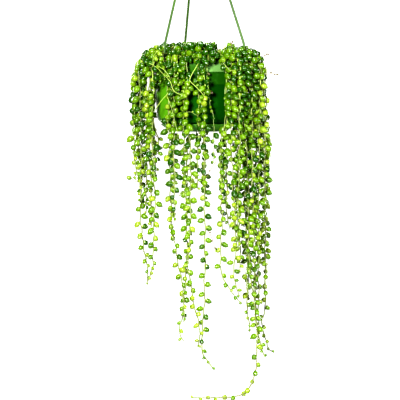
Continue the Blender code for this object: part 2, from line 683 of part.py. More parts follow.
hanger_green = material("hanger green plastic", (0.09, 0.30, 0.04), 0.35)
pot_green = material("pot green plastic", (0.05, 0.36, 0.01), 0.30)
saucer_green = material("saucer green plastic", (0.05, 0.20, 0.02), 0.35)
soil_brown = material("soil", (0.05, 0.03, 0.02), 0.95)
crown_green = material("crown leaves", (0.06, 0.22, 0.02), 0.30)
string_green = material("string leaves", (0.14, 0.32, 0.03), 0.30)

make_hook(hanger_green)
make_rods(hanger_green)
make_pot(pot_green)
make_saucer(saucer_green)
make_soil(soil_brown)

routes = {f"string_{n + 1:02d}": smooth_curve(string_route(*row), ROUTE_STEP)
          for n, row in enumerate(STRINGS)}
strings_room = Room(routes)
make_strings(string_green, strings_room)
make_crown(crown_green, strings_room)
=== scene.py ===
"""A string of pearls in a green hanging pot: its finished looks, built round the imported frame.

Sizes are metres in the frame's own axes: the origin is the point where the hook hangs, the pot's
axis is Z, and the front is -Y. A drop is a distance below the pot's rim.
"""

import math
import random

import bmesh
import bpy
from mathutils import Matrix, Vector


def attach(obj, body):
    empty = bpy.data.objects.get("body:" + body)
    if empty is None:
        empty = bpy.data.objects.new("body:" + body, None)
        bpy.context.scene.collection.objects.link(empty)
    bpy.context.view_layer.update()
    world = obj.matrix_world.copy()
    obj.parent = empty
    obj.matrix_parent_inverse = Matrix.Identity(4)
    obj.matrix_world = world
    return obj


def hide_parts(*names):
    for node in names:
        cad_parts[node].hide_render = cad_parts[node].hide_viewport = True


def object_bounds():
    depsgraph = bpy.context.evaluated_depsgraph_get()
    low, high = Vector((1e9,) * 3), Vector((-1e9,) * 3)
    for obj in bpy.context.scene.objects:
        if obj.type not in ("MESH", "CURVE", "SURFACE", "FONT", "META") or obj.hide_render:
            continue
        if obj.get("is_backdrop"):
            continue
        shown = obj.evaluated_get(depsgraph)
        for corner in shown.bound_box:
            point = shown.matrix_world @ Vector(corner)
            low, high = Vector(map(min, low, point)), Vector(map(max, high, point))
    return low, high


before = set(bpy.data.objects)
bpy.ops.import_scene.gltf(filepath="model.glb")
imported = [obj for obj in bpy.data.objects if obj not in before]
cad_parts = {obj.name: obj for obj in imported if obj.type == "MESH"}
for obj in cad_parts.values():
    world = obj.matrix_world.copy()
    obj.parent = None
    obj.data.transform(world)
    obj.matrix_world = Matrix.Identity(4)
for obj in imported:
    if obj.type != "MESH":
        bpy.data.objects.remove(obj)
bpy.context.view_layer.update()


# The view: a long lens, nearly level with the pot, so that the frame's 400 pixels span 572 mm at the
# pot's axis. The hanger's top stays above the frame, as in the photograph.
FRAME_PIXELS = 400
PIXEL = 0.00143
VIEW_CENTRE = Vector((0.0029, 0.0, -0.470))
VIEW_DISTANCE = 9.0
VIEW_ELEVATION = math.radians(1.5)
SENSOR = 36.0


def new_object(name, data):
    """An object of this data, in the scene."""
    made = bpy.data.objects.new(name, data)
    bpy.context.scene.collection.objects.link(made)
    return made


camera = new_object("camera", bpy.data.cameras.new("camera"))
camera.data.sensor_width = SENSOR
camera.data.lens = SENSOR * VIEW_DISTANCE / (FRAME_PIXELS * PIXEL)
camera.data.clip_end = 80
back = Vector((0, -math.cos(VIEW_ELEVATION), math.sin(VIEW_ELEVATION)))
camera.location = VIEW_CENTRE + back * VIEW_DISTANCE
camera.rotation_euler = (math.radians(90) - VIEW_ELEVATION, 0, 0)
bpy.context.scene.camera = camera
bpy.context.scene.view_settings.view_transform = "Standard"
bpy.context.scene.view_settings.look = "High Contrast"


# The studio: a white room that shows as pure white behind the plant and lights it softly, a key
# light just left of the camera and a weaker one on the right, both about level with the pot, a soft
# one above, and two broad ones behind that light its sides and its back.
ROOM_LIGHT = 0.025
LIGHTS = (
    ("left_light", (-0.70, -2.95, 0.10), 0.45, 220),
    ("right_light", (2.20, -1.90, -0.30), 0.60, 80),
    ("top_light", (-0.45, -0.40, 2.40), 0.80, 66),
    ("back_left_light", (-0.80, 2.95, -0.40), 1.60, 84),
    ("back_right_light", (0.95, 2.90, -0.40), 1.60, 84),
)
LIGHTS_AIM = Vector((0, 0, -0.42))


def add(tree, kind, settings=None, **values):
    """A node of this kind with its settings and its sockets' values, which may be sockets to link.

    A socket goes by its name, with _ for each space, or by n and its number.
    """
    node = tree.nodes.new(kind)
    for setting, value in (settings or {}).items():
        setattr(node, setting, value)
    for socket, value in values.items():
        key = int(socket[1:]) if socket.startswith("n") else socket.replace("_", " ")
        wanted = node.inputs[key]
        if isinstance(value, bpy.types.NodeSocket):
            tree.links.new(value, wanted)
        else:
            wanted.default_value = value
    return node


world = bpy.data.worlds.new("studio")
bpy.context.scene.world = world
world.use_nodes = True
sky = world.node_tree
sky.nodes.clear()
white = add(sky, "ShaderNodeBackground", Strength=1.0, Color=(1, 1, 1, 1))
soft = add(sky, "ShaderNodeBackground", Strength=ROOM_LIGHT, Color=(1.0, 1.0, 0.97, 1))
seen = add(sky, "ShaderNodeLightPath").outputs["Is Camera Ray"]
either = add(sky, "ShaderNodeMixShader", n0=seen, n1=soft.outputs[0], n2=white.outputs[0])
add(sky, "ShaderNodeOutputWorld", Surface=either.outputs[0])

for name, place, size, watts in LIGHTS:
    light = bpy.data.lights.new(name, "AREA")
    light.size = size
    light.energy = watts
    lamp = new_object(name, light)
    lamp.location = place
    lamp.rotation_euler = (LIGHTS_AIM - lamp.location).to_track_quat("-Z", "Y").to_euler()


# The materials of the pot and the plant are made the same way: one glossy or matt shader on a colour
# that fine noise varies, read from the object's own coordinates so that it stays put on the piece.
def new_material(name, roughness, **sockets):
    """A material, its tree and its shader, with these sockets of the shader set."""
    made = bpy.data.materials.new(name)
    made.use_nodes = True
    shader = made.node_tree.nodes["Principled BSDF"]
    shader.inputs["Roughness"].default_value = roughness
    for socket, value in sockets.items():
        shader.inputs[socket.replace("_", " ")].default_value = value
    return made, made.node_tree, shader


def mix(tree, share, first, second):
    """The colour between these two, each a colour or a socket, at this share."""
    node = tree.nodes.new("ShaderNodeMix")
    node.data_type = "RGBA"
    for socket, value in ((node.inputs[0], share), (node.inputs[6], first), (node.inputs[7], second)):
        if isinstance(value, bpy.types.NodeSocket):
            tree.links.new(value, socket)
        else:
            socket.default_value = (*value, 1) if isinstance(value, tuple) else value
    return node.outputs[2]


def ramp(tree, value, low, high):
    """0 below low, 1 above high, and smooth between them."""
    return add(tree, "ShaderNodeMapRange", {"interpolation_type": "SMOOTHSTEP"},
               Value=value, From_Min=low, From_Max=high).outputs[0]


def on_piece(tree):
    """The piece's own coordinates."""
    return add(tree, "ShaderNodeTexCoord").outputs["Object"]


def noise(tree, place, scale, detail, **more):
    """Fine cloudy noise, from 0 to 1."""
    return add(tree, "ShaderNodeTexNoise", Vector=place, Scale=scale, Detail=detail, **more).outputs["Fac"]


def bumped(tree, shader, height, strength, distance):
    """Gives the shader a relief of this height."""
    bump = add(tree, "ShaderNodeBump", Strength=strength, Distance=distance, Height=height)
    tree.links.new(bump.outputs[0], shader.inputs["Normal"])


def moulded_plastic(name, tone, shade, pale, roughness, specular=0.20):
    """Moulded plastic: clouded between two tones, scuffed paler in places, with a faint orange peel."""
    made, tree, shader = new_material(name, roughness, Specular_IOR_Level=specular)
    place = on_piece(tree)
    cloud = noise(tree, place, 38.0, 3.0)
    scuff = noise(tree, place, 260.0, 6.0, Roughness=0.7)
    base = mix(tree, ramp(tree, cloud, 0.35, 0.65), tone, shade)
    worn = mix(tree, ramp(tree, scuff, 0.62, 0.78), base, pale)
    tree.links.new(worn, shader.inputs["Base Color"])
    rough = add(tree, "ShaderNodeMapRange", Value=scuff, To_Min=roughness - 0.06, To_Max=roughness + 0.16)
    tree.links.new(rough.outputs[0], shader.inputs["Roughness"])
    bumped(tree, shader, noise(tree, place, 900.0, 2.0), 0.08, 0.0004)
    return made


# The floor is a plain pale disc well below the strings. It fades into the white room at its edge, and
# it is small enough not to hide the plant in a view from below.
FLOOR_Z = -1.30
FLOOR_R = 0.90
FLOOR_SOLID_R = 0.35

floor_paint, floor_tree, floor_shader = new_material("pale floor", 0.9)
floor_shader.inputs["Base Color"].default_value = (0.86, 0.86, 0.84, 1)
floor_reach = add(floor_tree, "ShaderNodeVectorMath", {"operation": "LENGTH"}, n0=on_piece(floor_tree))
floor_fade = add(floor_tree, "ShaderNodeMapRange", {"interpolation_type": "SMOOTHSTEP"},
                 Value=floor_reach.outputs["Value"], From_Min=FLOOR_SOLID_R, From_Max=FLOOR_R,
                 To_Min=1.0, To_Max=0.0)
floor_tree.links.new(floor_fade.outputs[0], floor_shader.inputs["Alpha"])

disc = bmesh.new()
bmesh.ops.create_circle(disc, cap_ends=True, segments=96, radius=FLOOR_R)
floor_mesh = bpy.data.meshes.new("floor")
disc.to_mesh(floor_mesh)
disc.free()
floor_mesh.materials.append(floor_paint)
floor = new_object("floor", floor_mesh)
floor.location = (0, 0, FLOOR_Z)
floor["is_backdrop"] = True


# The hook and its hub are one moulding of mid-green plastic. The hub is a turned boss with three
# sockets in its underside, and the hook's wire rises out of its top and bends over to hang.
MEETING_Z = -0.040
RIM_Z = MEETING_Z - 0.230
HUB_TOP = -0.034
HUB_BOTTOM = -0.054
HUB_R = 0.0085
HUB_NECK_R = 0.0045
HOOK_INNER_R = 0.011
HOOK_WIRE_R = 0.0019
HOOK_FROM = -25
HOOK_SWEEP = 235
ROD_R = 0.0017
ROD_AZIMUTHS = (316, 76, 196)
ROD_SEAT_R = 0.068
ROD_START = 0.009
SOCKET_CLEAR = 0.0001
KINK_RISE = 0.022
SHARP = math.radians(38)


def around(azimuth, radius, z=0.0):
    """The point at this azimuth (degrees from the front, turning towards +X), radius and height."""
    angle = math.radians(azimuth)
    return Vector((radius * math.sin(angle), -radius * math.cos(angle), z))


def arc(centre_r, centre_z, radius, first, last, steps):
    """Profile points along an arc, from one angle to another in degrees."""
    angles = [math.radians(first + (last - first) * i / steps) for i in range(steps + 1)]
    return [(centre_r + radius * math.cos(a), centre_z + radius * math.sin(a)) for a in angles]


def turned(profile, sides):
    """A bmesh turned about Z from (radius, height) points, which go round the section."""
    bm = bmesh.new()
    points = [bm.verts.new((radius, 0, z)) for radius, z in profile]
    edges = [bm.edges.new(pair) for pair in zip(points, points[1:] + points[:1])]
    bmesh.ops.spin(bm, geom=points + edges, cent=(0, 0, 0), axis=(0, 0, 1),
                   angle=2 * math.pi, steps=sides, use_merge=True)
    bmesh.ops.remove_doubles(bm, verts=bm.verts, dist=1e-6)
    bmesh.ops.dissolve_degenerate(bm, edges=bm.edges, dist=1e-6)
    return bm


def tube(points, radii, sides):
    """A bmesh tube along the points, its section carried along without twist."""
    bm = bmesh.new()
    along = (points[1] - points[0]).normalized()
    out = along.orthogonal().normalized()
    rings = []
    for i, point in enumerate(points):
        onward = (points[min(i + 1, len(points) - 1)] - points[max(i - 1, 0)]).normalized()
        out = (along.rotation_difference(onward) @ out).normalized()
        along = onward
        spoke = Matrix.Rotation(2 * math.pi / sides, 3, along)
        arm, ring = out * radii[i], []
        for _ in range(sides):
            ring.append(bm.verts.new(point + arm))
            arm = spoke @ arm
        rings.append(ring)
    for low, high in zip(rings, rings[1:]):
        for k in range(sides):
            n = (k + 1) % sides
            bm.faces.new((low[k], low[n], high[n], high[k]))
    bm.faces.new(rings[0])
    bm.faces.new(rings[-1])
    return bm


def new_piece(name, bm, material):
    """An object of this bmesh, its faces outwards and shaded smooth except at its edges."""
    bmesh.ops.recalc_face_normals(bm, faces=bm.faces)
    mesh = bpy.data.meshes.new(name)
    bm.to_mesh(mesh)
    bm.free()
    mesh.shade_smooth()
    mesh.set_sharp_from_angle(angle=SHARP)
    mesh.materials.append(material)
    return new_object(name, mesh)


def baked(piece):
    """Turns what the piece's modifiers make into its own plain mesh."""
    graph = bpy.context.evaluated_depsgraph_get()
    mesh = bpy.data.meshes.new_from_object(piece.evaluated_get(graph))
    piece.modifiers.clear()
    mesh.name = piece.name
    piece.data = mesh


def joined(piece, bodies, operation="UNION"):
    """Joins the bodies to the piece, or cuts them from it, with one Boolean."""
    helpers = bpy.data.collections.new("helpers")
    bpy.context.scene.collection.children.link(helpers)
    made = []
    for bm in bodies:
        helper = new_piece("helper", bm, piece.data.materials[0])
        bpy.context.scene.collection.objects.unlink(helper)
        helpers.objects.link(helper)
        made.append(helper)
    boolean = piece.modifiers.new("join", "BOOLEAN")
    boolean.operation = operation
    boolean.operand_type = "COLLECTION"
    boolean.collection = helpers
    baked(piece)
    for helper in made:
        bpy.data.objects.remove(helper)
    bpy.data.collections.remove(helpers)
    piece.data.shade_smooth()
    piece.data.set_sharp_from_angle(angle=SHARP)


def smooth_curve(points, step):
    """Points about a step apart on a smooth curve through the given points (Catmull-Rom)."""
    padded = [2 * points[0] - points[1]] + points + [2 * points[-1] - points[-2]]
    curve = []
    for p0, p1, p2, p3 in zip(padded, padded[1:], padded[2:], padded[3:]):
        count = max(1, round((p2 - p1).length / step))
        for k in range(count):
            t = k / count
            curve.append(0.5 * (2 * p1 + (p2 - p0) * t + (2 * p0 - 5 * p1 + 4 * p2 - p3) * t * t
                                + (3 * p1 - 3 * p2 + p3 - p0) * t ** 3))
    return curve + [points[-1]]


def rod_kink(azimuth):
    """Where a rod bends from its slope to upright."""
    return around(azimuth, ROD_SEAT_R, RIM_Z + KINK_RISE)


def rod_direction(azimuth):
    """Which way a rod slopes down from where the three meet."""
    return (rod_kink(azimuth) - meeting).normalized()


meeting = Vector((0, 0, MEETING_Z))
hanger_green = moulded_plastic("hanger plastic", (0.042, 0.094, 0.013), (0.031, 0.072, 0.010),
                               (0.10, 0.18, 0.05), 0.38)

hub_profile = [(0, HUB_TOP)] + arc(HUB_NECK_R - 0.0005, HUB_TOP - 0.0005, 0.0005, 90, 45, 2)
hub_profile += arc(HUB_R - 0.0012, HUB_TOP - 0.0036, 0.0012, 50, 0, 4)
hub_profile += arc(HUB_R - 0.0010, HUB_BOTTOM + 0.0010, 0.0010, 0, -90, 4) + [(0, HUB_BOTTOM)]
hook = new_piece("hook_and_hub", turned(hub_profile, 48), hanger_green)
wire_r = HOOK_INNER_R + HOOK_WIRE_R
bend = [Vector((x, 0, z)) for x, z in arc(0, -HOOK_INNER_R, wire_r, HOOK_FROM, HOOK_FROM + HOOK_SWEEP, 36)]
shank = smooth_curve([Vector((0, 0, HUB_TOP - 0.003)), Vector((0, 0, HUB_TOP + 0.003)),
                      Vector((0.0045, 0, -0.0240)), bend[0]], 0.001)
wire = shank[:-1] + bend
wire_radii = [HOOK_WIRE_R] * (len(wire) - 2) + [HOOK_WIRE_R * 0.92, HOOK_WIRE_R * 0.70]
joined(hook, [tube(wire, wire_radii, 16)])
joined(hook, [tube([meeting + rod_direction(a) * (ROD_START - 0.0003), meeting + rod_direction(a) * 0.030],
                   [ROD_R + SOCKET_CLEAR] * 2, 20) for a in ROD_AZIMUTHS], "DIFFERENCE")
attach(hook, "root")
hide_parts("hanger_hook")


# The three rods are drawn from the same plastic. Each is pressed into its socket, runs straight to a
# kink just above the leaves, drops through the slot of its ear and is held there by a moulded knob.
KNOB_R = 0.0026
KNOB_H = 0.0028
KINK_BEND = 0.006
EAR_DROP = 0.0004
EAR_T = 0.0029

for name, node, azimuth in zip(("left_rod", "right_rod", "back_rod"),
                               ("rod_front_left", "rod_right", "rod_back"), ROD_AZIMUTHS):
    toward = rod_direction(azimuth)
    down = Vector((0, 0, -1))
    kink = rod_kink(azimuth)
    knob_top = RIM_Z - EAR_DROP - EAR_T - 0.0003
    route = [meeting + toward * ROD_START, kink - toward * 0.060]
    for k in range(7):
        t = k / 6
        route.append((kink - toward * KINK_BEND) * (1 - t) ** 2 + kink * 2 * t * (1 - t)
                     + (kink + down * KINK_BEND) * t ** 2)
    seat = around(azimuth, ROD_SEAT_R, knob_top)
    route.append(seat)
    radii = [ROD_R] * len(route)
    for share, width in ((0.02, 0.80), (0.14, 0.96), (0.50, 1.0), (0.82, 0.90), (1.10, 0.62), (1.24, 0.25)):
        route.append(seat + down * KNOB_H * share)
        radii.append(KNOB_R * width)
    rod = new_piece(name, tube(route, radii, 12), hanger_green)
    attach(rod, "root")
    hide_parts(node)


# The pot is one injection-moulded shell in bright green plastic: a thick collar, a thin wall with one
# fine step, a rounded corner, a foot ring with a lip for the saucer's clips, drain holes, three ears.
POT_SIDES = 96
COLLAR_R = 0.0650
COLLAR_H = 0.0165
COLLAR_T = 0.0026
WALL_R = 0.0622
WALL_T = 0.0018
STEP_DROP = 0.0340
SHOULDER_R = 0.0592
CORNER_R = 0.0125
FLOOR_DROP = 0.0905
FLOOR_TOP_DROP = 0.0870
FLOOR_UNDER_DROP = 0.0890
FOOT_R = 0.0340
FOOT_DROP = 0.0999
FOOT_LIP = 0.0010
FOOT_LIP_DROP = 0.0960
EAR_HALF = 0.0040
EAR_OUT = 0.0040
EAR_IN = 0.0045
SLOT_HALF = 0.0018
DRAIN_R = 0.0025
DRAIN_CIRCLE_R = 0.018
DRAINS = 4

# Its colour holds painted light: a lighter green on the left side where the light falls, a paler
# green on the collar and on the wall above the step with the wall below in shade, and a painted
# highlight, a pale patch along the right part of the collar.
LIT_SIDE_FROM = -0.028
LIT_SIDE_TO = -0.046
PAINTED_LIT_GREEN = (0.076, 0.225, 0.006)
COLLAR_PAINTED_LIGHT = 0.27
WALL_PAINTED_LIGHT = 0.10
HIGHLIGHT_FROM = 0.006
HIGHLIGHT_TO = 0.013
PAINTED_HIGHLIGHT_GREEN = (0.125, 0.255, 0.072)
POT_SPECULAR = 0.03


def prism(outline, thickness, placed):
    """A bmesh of a flat outline extruded by the thickness, then placed by a matrix."""
    bm = bmesh.new()
    face = bm.faces.new([bm.verts.new((x, y, 0)) for x, y in outline])
    raised = bmesh.ops.extrude_face_region(bm, geom=[face])
    lifted = [v for v in raised["geom"] if isinstance(v, bmesh.types.BMVert)]
    bmesh.ops.translate(bm, vec=(0, 0, thickness), verts=lifted)
    bmesh.ops.transform(bm, matrix=placed, verts=bm.verts)
    return bm


def frame_at(azimuth, radius, z):
    """A matrix whose X points outwards at this azimuth, with Z up."""
    out = around(azimuth, 1)
    turn = Matrix.Rotation(math.atan2(out.y, out.x), 4, "Z")
    return Matrix.Translation(around(azimuth, radius, z)) @ turn


def pot_outside():
    """The pot's outer section from the rim down to its foot, as (radius, height from the rim)."""
    collar = arc(COLLAR_R - 0.0010, -0.0010, 0.0010, 90, 0, 4)
    collar += arc(COLLAR_R - 0.0014, -COLLAR_H + 0.0008, 0.0008, -10, -80, 3)
    wall = [(WALL_R, -COLLAR_H - 0.0004), (WALL_R - 0.0005, -STEP_DROP),
            (WALL_R - 0.0008, -STEP_DROP - 0.0002), (WALL_R - 0.0011, -STEP_DROP - 0.0006)]
    corner = arc(SHOULDER_R - CORNER_R, -FLOOR_DROP + CORNER_R, CORNER_R, 0, -80, 12)
    lip_r = FOOT_R + FOOT_LIP
    foot = [(FOOT_R + 0.0005, -FLOOR_DROP), (FOOT_R, 0.0005 - FOOT_LIP_DROP), (lip_r, -FOOT_LIP_DROP),
            (lip_r, -FOOT_LIP_DROP - 0.0012), (FOOT_R, -FOOT_LIP_DROP - 0.0020), (FOOT_R, -FOOT_DROP)]
    return collar + wall + corner + foot


def reckoned(tree, operation, *values):
    """What a Math node makes of these numbers or sockets."""
    given = {f"n{i}": value for i, value in enumerate(values)}
    return add(tree, "ShaderNodeMath", {"operation": operation}, **given).outputs[0]


# Base tones far darker than the plastic's own green: painted shade for the strings' shadow on the pot.
pot_green = moulded_plastic("pot plastic", (0.0040, 0.056, 0.0006), (0.0030, 0.043, 0.0005),
                            (0.008, 0.085, 0.0015), 0.34, POT_SPECULAR)
pot_tree = pot_green.node_tree
pot_base = pot_tree.nodes["Principled BSDF"].inputs["Base Color"]
pot_xyz = add(pot_tree, "ShaderNodeSeparateXYZ", Vector=on_piece(pot_tree)).outputs
# Painted light: the pot's left side is a lighter green.
painted_lit_side = ramp(pot_tree, pot_xyz[0], LIT_SIDE_FROM, LIT_SIDE_TO)
on_collar = ramp(pot_tree, pot_xyz[2], RIM_Z - COLLAR_H - 0.0006, RIM_Z - COLLAR_H + 0.0006)
above_step = ramp(pot_tree, pot_xyz[2], RIM_Z - STEP_DROP - 0.0012, RIM_Z - STEP_DROP)
# Painted light on the collar and the wall above the step, paler than the shaded wall below.
painted_upper_light = add(pot_tree, "ShaderNodeMapRange", Value=on_collar, To_Min=WALL_PAINTED_LIGHT, To_Max=COLLAR_PAINTED_LIGHT)
paler = reckoned(pot_tree, "MAXIMUM", painted_lit_side, reckoned(pot_tree, "MULTIPLY", painted_upper_light.outputs[0], above_step))
# A painted highlight: a pale patch on the right part of the collar.
painted_highlight = reckoned(pot_tree, "MULTIPLY", on_collar, ramp(pot_tree, pot_xyz[0], HIGHLIGHT_FROM, HIGHLIGHT_TO))
pot_tone = mix(pot_tree, paler, pot_base.links[0].from_socket, PAINTED_LIT_GREEN)
pot_tree.links.new(mix(pot_tree, painted_highlight, pot_tone, PAINTED_HIGHLIGHT_GREEN), pot_base)

pot_profile = pot_outside()
pot_profile += [(FOOT_R - WALL_T, -FOOT_DROP), (FOOT_R - WALL_T, -FLOOR_UNDER_DROP), (0, -FLOOR_UNDER_DROP)]
pot_profile += [(0, -FLOOR_TOP_DROP)]
pot_profile += arc(SHOULDER_R - CORNER_R, -FLOOR_TOP_DROP + CORNER_R - WALL_T, CORNER_R - WALL_T, -90, 0, 8)
pot_profile += [(WALL_R - WALL_T, -COLLAR_H - 0.0004), (COLLAR_R - COLLAR_T, 0.0016 - COLLAR_H),
                (COLLAR_R - COLLAR_T, -0.0006), (COLLAR_R - COLLAR_T + 0.0006, 0)]
pot = new_piece("moulded_pot", turned([(r, z + RIM_Z) for r, z in pot_profile], POT_SIDES), pot_green)
ear_z = RIM_Z - EAR_DROP - EAR_T
ear_edge = [(EAR_OUT - 0.0015 + x, y + EAR_HALF - 0.0015) for x, y in arc(0, 0, 0.0015, 90, 0, 4)]
ear_edge += [(x, -y) for x, y in reversed(ear_edge)]
ear = [(-EAR_IN, EAR_HALF + 0.0006)] + ear_edge + [(-EAR_IN, -EAR_HALF - 0.0006)]
joined(pot, [prism(ear, EAR_T, frame_at(a, ROD_SEAT_R, ear_z)) for a in ROD_AZIMUTHS])
slot = arc(0, 0, SLOT_HALF, 270, 90, 8) + [(2 * EAR_OUT, SLOT_HALF), (2 * EAR_OUT, -SLOT_HALF)]
cuts = [prism(slot, EAR_T + 0.004, frame_at(a, ROD_SEAT_R, ear_z - 0.002)) for a in ROD_AZIMUTHS]
for k in range(DRAINS):
    ends = [around(45 + 360 * k / DRAINS, DRAIN_CIRCLE_R, RIM_Z - drop) for drop in (0.091, 0.083)]
    cuts.append(tube(ends, [DRAIN_R] * 2, 16))
joined(pot, cuts, "DIFFERENCE")
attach(pot, "root")
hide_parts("pot")


# The saucer is a shallow dish of a darker green plastic. Three clips stand on its floor and snap
# over the lip of the pot's foot, which leaves the dark gap between pot and saucer.
SAUCER_R = 0.0530
SAUCER_TOP_DROP = 0.0908
SAUCER_BASE_R = 0.0408
SAUCER_DROP = 0.1018
SAUCER_T = 0.0015
CLIPS = 3
CLIP_WIDTH = 0.0070
CLIP_T = 0.0016
CLIP_TOP_DROP = 0.0936

saucer_green = moulded_plastic("saucer plastic", (0.047, 0.150, 0.012), (0.034, 0.115, 0.009),
                               (0.110, 0.23, 0.060), 0.40)
saucer_outside = arc(SAUCER_R - 0.0008, -SAUCER_TOP_DROP - 0.0008, 0.0008, 100, -30, 5)
saucer_outside += arc(SAUCER_BASE_R, -SAUCER_DROP + 0.0016, 0.0016, -45, -90, 4)
saucer_profile = saucer_outside + [(0, -SAUCER_DROP), (0, -SAUCER_DROP + SAUCER_T)]
saucer_profile += [(SAUCER_BASE_R - 0.0008, -SAUCER_DROP + SAUCER_T),
                   (SAUCER_R - 0.0022, -SAUCER_TOP_DROP - 0.0004)]
saucer_bm = turned([(r, z + RIM_Z) for r, z in saucer_profile], POT_SIDES)
saucer = new_piece("clip_on_saucer", saucer_bm, saucer_green)
clip_in = FOOT_R + FOOT_LIP + 0.0003
clip = ((clip_in, SAUCER_T / 2 - SAUCER_DROP), (clip_in + CLIP_T, SAUCER_T / 2 - SAUCER_DROP),
        (clip_in + CLIP_T, -CLIP_TOP_DROP), (clip_in - 0.0002, -CLIP_TOP_DROP),
        (clip_in - 0.0010, -CLIP_TOP_DROP - 0.0010), (clip_in - 0.0010, 0.0003 - FOOT_LIP_DROP),
        (clip_in, 0.0003 - FOOT_LIP_DROP))
upright = Matrix.Translation((0, CLIP_WIDTH / 2, 0)) @ Matrix.Rotation(math.radians(90), 4, "X")
joined(saucer, [prism(clip, CLIP_WIDTH, frame_at(360 * k / CLIPS, 0, RIM_Z) @ upright) for k in range(CLIPS)])
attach(saucer, "root")
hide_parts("saucer")


# The soil is moist peat with paler fibres and grit. It fills the pot to just under its rim, and the
# crown hides nearly all of it, so the frame's own solid is kept and only gets its finish.
soil_brown, soil_tree, soil_shader = new_material("potting soil", 0.95)
soil_place = on_piece(soil_tree)
crumbs = noise(soil_tree, soil_place, 420.0, 8.0, Roughness=0.8)
grit = add(soil_tree, "ShaderNodeTexVoronoi", Vector=soil_place, Scale=330.0).outputs["Distance"]
peat = mix(soil_tree, ramp(soil_tree, crumbs, 0.35, 0.70), (0.012, 0.008, 0.005), (0.070, 0.042, 0.024))
gritty = mix(soil_tree, ramp(soil_tree, grit, 0.16, 0.08), peat, (0.30, 0.26, 0.20))
soil_tree.links.new(gritty, soil_shader.inputs["Base Color"])
bumped(soil_tree, soil_shader, crumbs, 0.9, 0.002)
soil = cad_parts["soil"]
soil.data.materials.clear()
soil.data.materials.append(soil_brown)


# A leaf is a round waxy bead on a short stalk, drawn out to a small point, with a darker clear
# window down one side. It is made once, a unit in radius, and every stem carries copies of it.
LEAF_SIDES = 8
LEAF_STALK = 0.34
LEAF_LATITUDES = (-52, -24, 4, 30)
LEAF_POINT = ((0.63, 2.07), (0.27, 2.37))
LEAF_CENTRE = 1.26
LEAF_LONG = 1.06
LEAF_END = 2.58

leaf_bm = bmesh.new()
leaf_rings = [(0.15, 0.0), (0.16, LEAF_STALK)]
for latitude in LEAF_LATITUDES:
    angle = math.radians(latitude)
    leaf_rings.append((math.cos(angle), LEAF_CENTRE + LEAF_LONG * math.sin(angle)))
leaf_rings += LEAF_POINT
rings = []
for radius, height in leaf_rings:
    rings.append([leaf_bm.verts.new((radius * math.cos(2 * math.pi * k / LEAF_SIDES),
                                     radius * math.sin(2 * math.pi * k / LEAF_SIDES), height))
                  for k in range(LEAF_SIDES)])
leaf_tip = leaf_bm.verts.new((0, 0, LEAF_END))
leaf_bm.faces.new(list(reversed(rings[0])))
for low, high in zip(rings, rings[1:]):
    for k in range(LEAF_SIDES):
        n = (k + 1) % LEAF_SIDES
        leaf_bm.faces.new((low[k], low[n], high[n], high[k]))
for k in range(LEAF_SIDES):
    leaf_bm.faces.new((rings[-1][k], rings[-1][(k + 1) % LEAF_SIDES], leaf_tip))
leaf_mesh = bpy.data.meshes.new("one_leaf")
leaf_bm.to_mesh(leaf_mesh)
leaf_bm.free()
leaf_mesh.shade_smooth()
on_leaf = leaf_mesh.attributes.new("on_leaf", "FLOAT_VECTOR", "POINT")
for vertex in leaf_mesh.vertices:
    on_leaf.data[vertex.index].vector = vertex.co
one_leaf = bpy.data.objects.new("one_leaf", leaf_mesh)


# The leaf's skin is waxy and thick: dark green, mid green or yellow-green by its age and its light,
# or dry and brown, clouded a little, with the window's stripe, a paler stalk and an olive point.
LEAF_DARK = (0.014, 0.060, 0.0004)
LEAF_TONES = ((0.25, 0.72, (0.094, 0.184, 0.0020)), (0.72, 1.22, (0.262, 0.325, 0.030)),
              (1.75, 1.95, (0.105, 0.080, 0.030)))
WINDOW_GREEN = (0.010, 0.065, 0.002)
WINDOW_CLEAR = 0.75
STALK_GREEN = (0.26, 0.36, 0.04)
POINT_OLIVE = (0.11, 0.12, 0.015)


def toned(tree, value, tone, steps):
    """A tone that turns into the next as the value crosses each of the steps (from, to, tone)."""
    for low, high, onward in steps:
        tone = mix(tree, ramp(tree, value, low, high), tone, onward)
    return tone


leaf_skin, leaf_tree, leaf_shader = new_material("leaf skin", 0.24, Specular_IOR_Level=0.42,
                                                 Subsurface_Weight=0.05, Subsurface_Scale=0.0010)
leaf_shader.inputs["Subsurface Radius"].default_value = (0.6, 1.0, 0.1)
tint = add(leaf_tree, "ShaderNodeAttribute", {"attribute_name": "tint"}).outputs["Fac"]
leaf_place = add(leaf_tree, "ShaderNodeAttribute", {"attribute_name": "on_leaf"}).outputs["Vector"]
leaf_xyz = add(leaf_tree, "ShaderNodeSeparateXYZ", Vector=leaf_place).outputs
cloud = noise(leaf_tree, on_piece(leaf_tree), 210.0, 4.0)
skin = toned(leaf_tree, reckoned(leaf_tree, "MULTIPLY_ADD", cloud, 0.55, tint), LEAF_DARK, LEAF_TONES)
narrow = ramp(leaf_tree, reckoned(leaf_tree, "ABSOLUTE", leaf_xyz[1]), 0.20, 0.07)
stripe = reckoned(leaf_tree, "MULTIPLY", narrow, ramp(leaf_tree, leaf_xyz[0], 0.10, 0.35))
skin = mix(leaf_tree, reckoned(leaf_tree, "MULTIPLY", stripe, WINDOW_CLEAR), skin, WINDOW_GREEN)
skin = mix(leaf_tree, ramp(leaf_tree, leaf_xyz[2], LEAF_STALK + 0.25, LEAF_STALK - 0.10), skin, STALK_GREEN)
skin = mix(leaf_tree, ramp(leaf_tree, leaf_xyz[2], LEAF_END - 0.24, LEAF_END - 0.05), skin, POINT_OLIVE)
leaf_tree.links.new(skin, leaf_shader.inputs["Base Color"])
bumped(leaf_tree, leaf_shader, cloud, 0.10, 0.0006)


# The stems are thin and limp, with a skin that isn't waxy. It is olive green, pale yellow-green where
# it is young, a little browner with age, and brown where it has dried.
STEM_GREEN = (0.128, 0.168, 0.030)
STEM_TONES = ((0.55, 0.95, (0.136, 0.148, 0.042)), (0.20, -0.10, (0.270, 0.370, 0.060)),
              (1.25, 1.65, (0.150, 0.100, 0.030)))

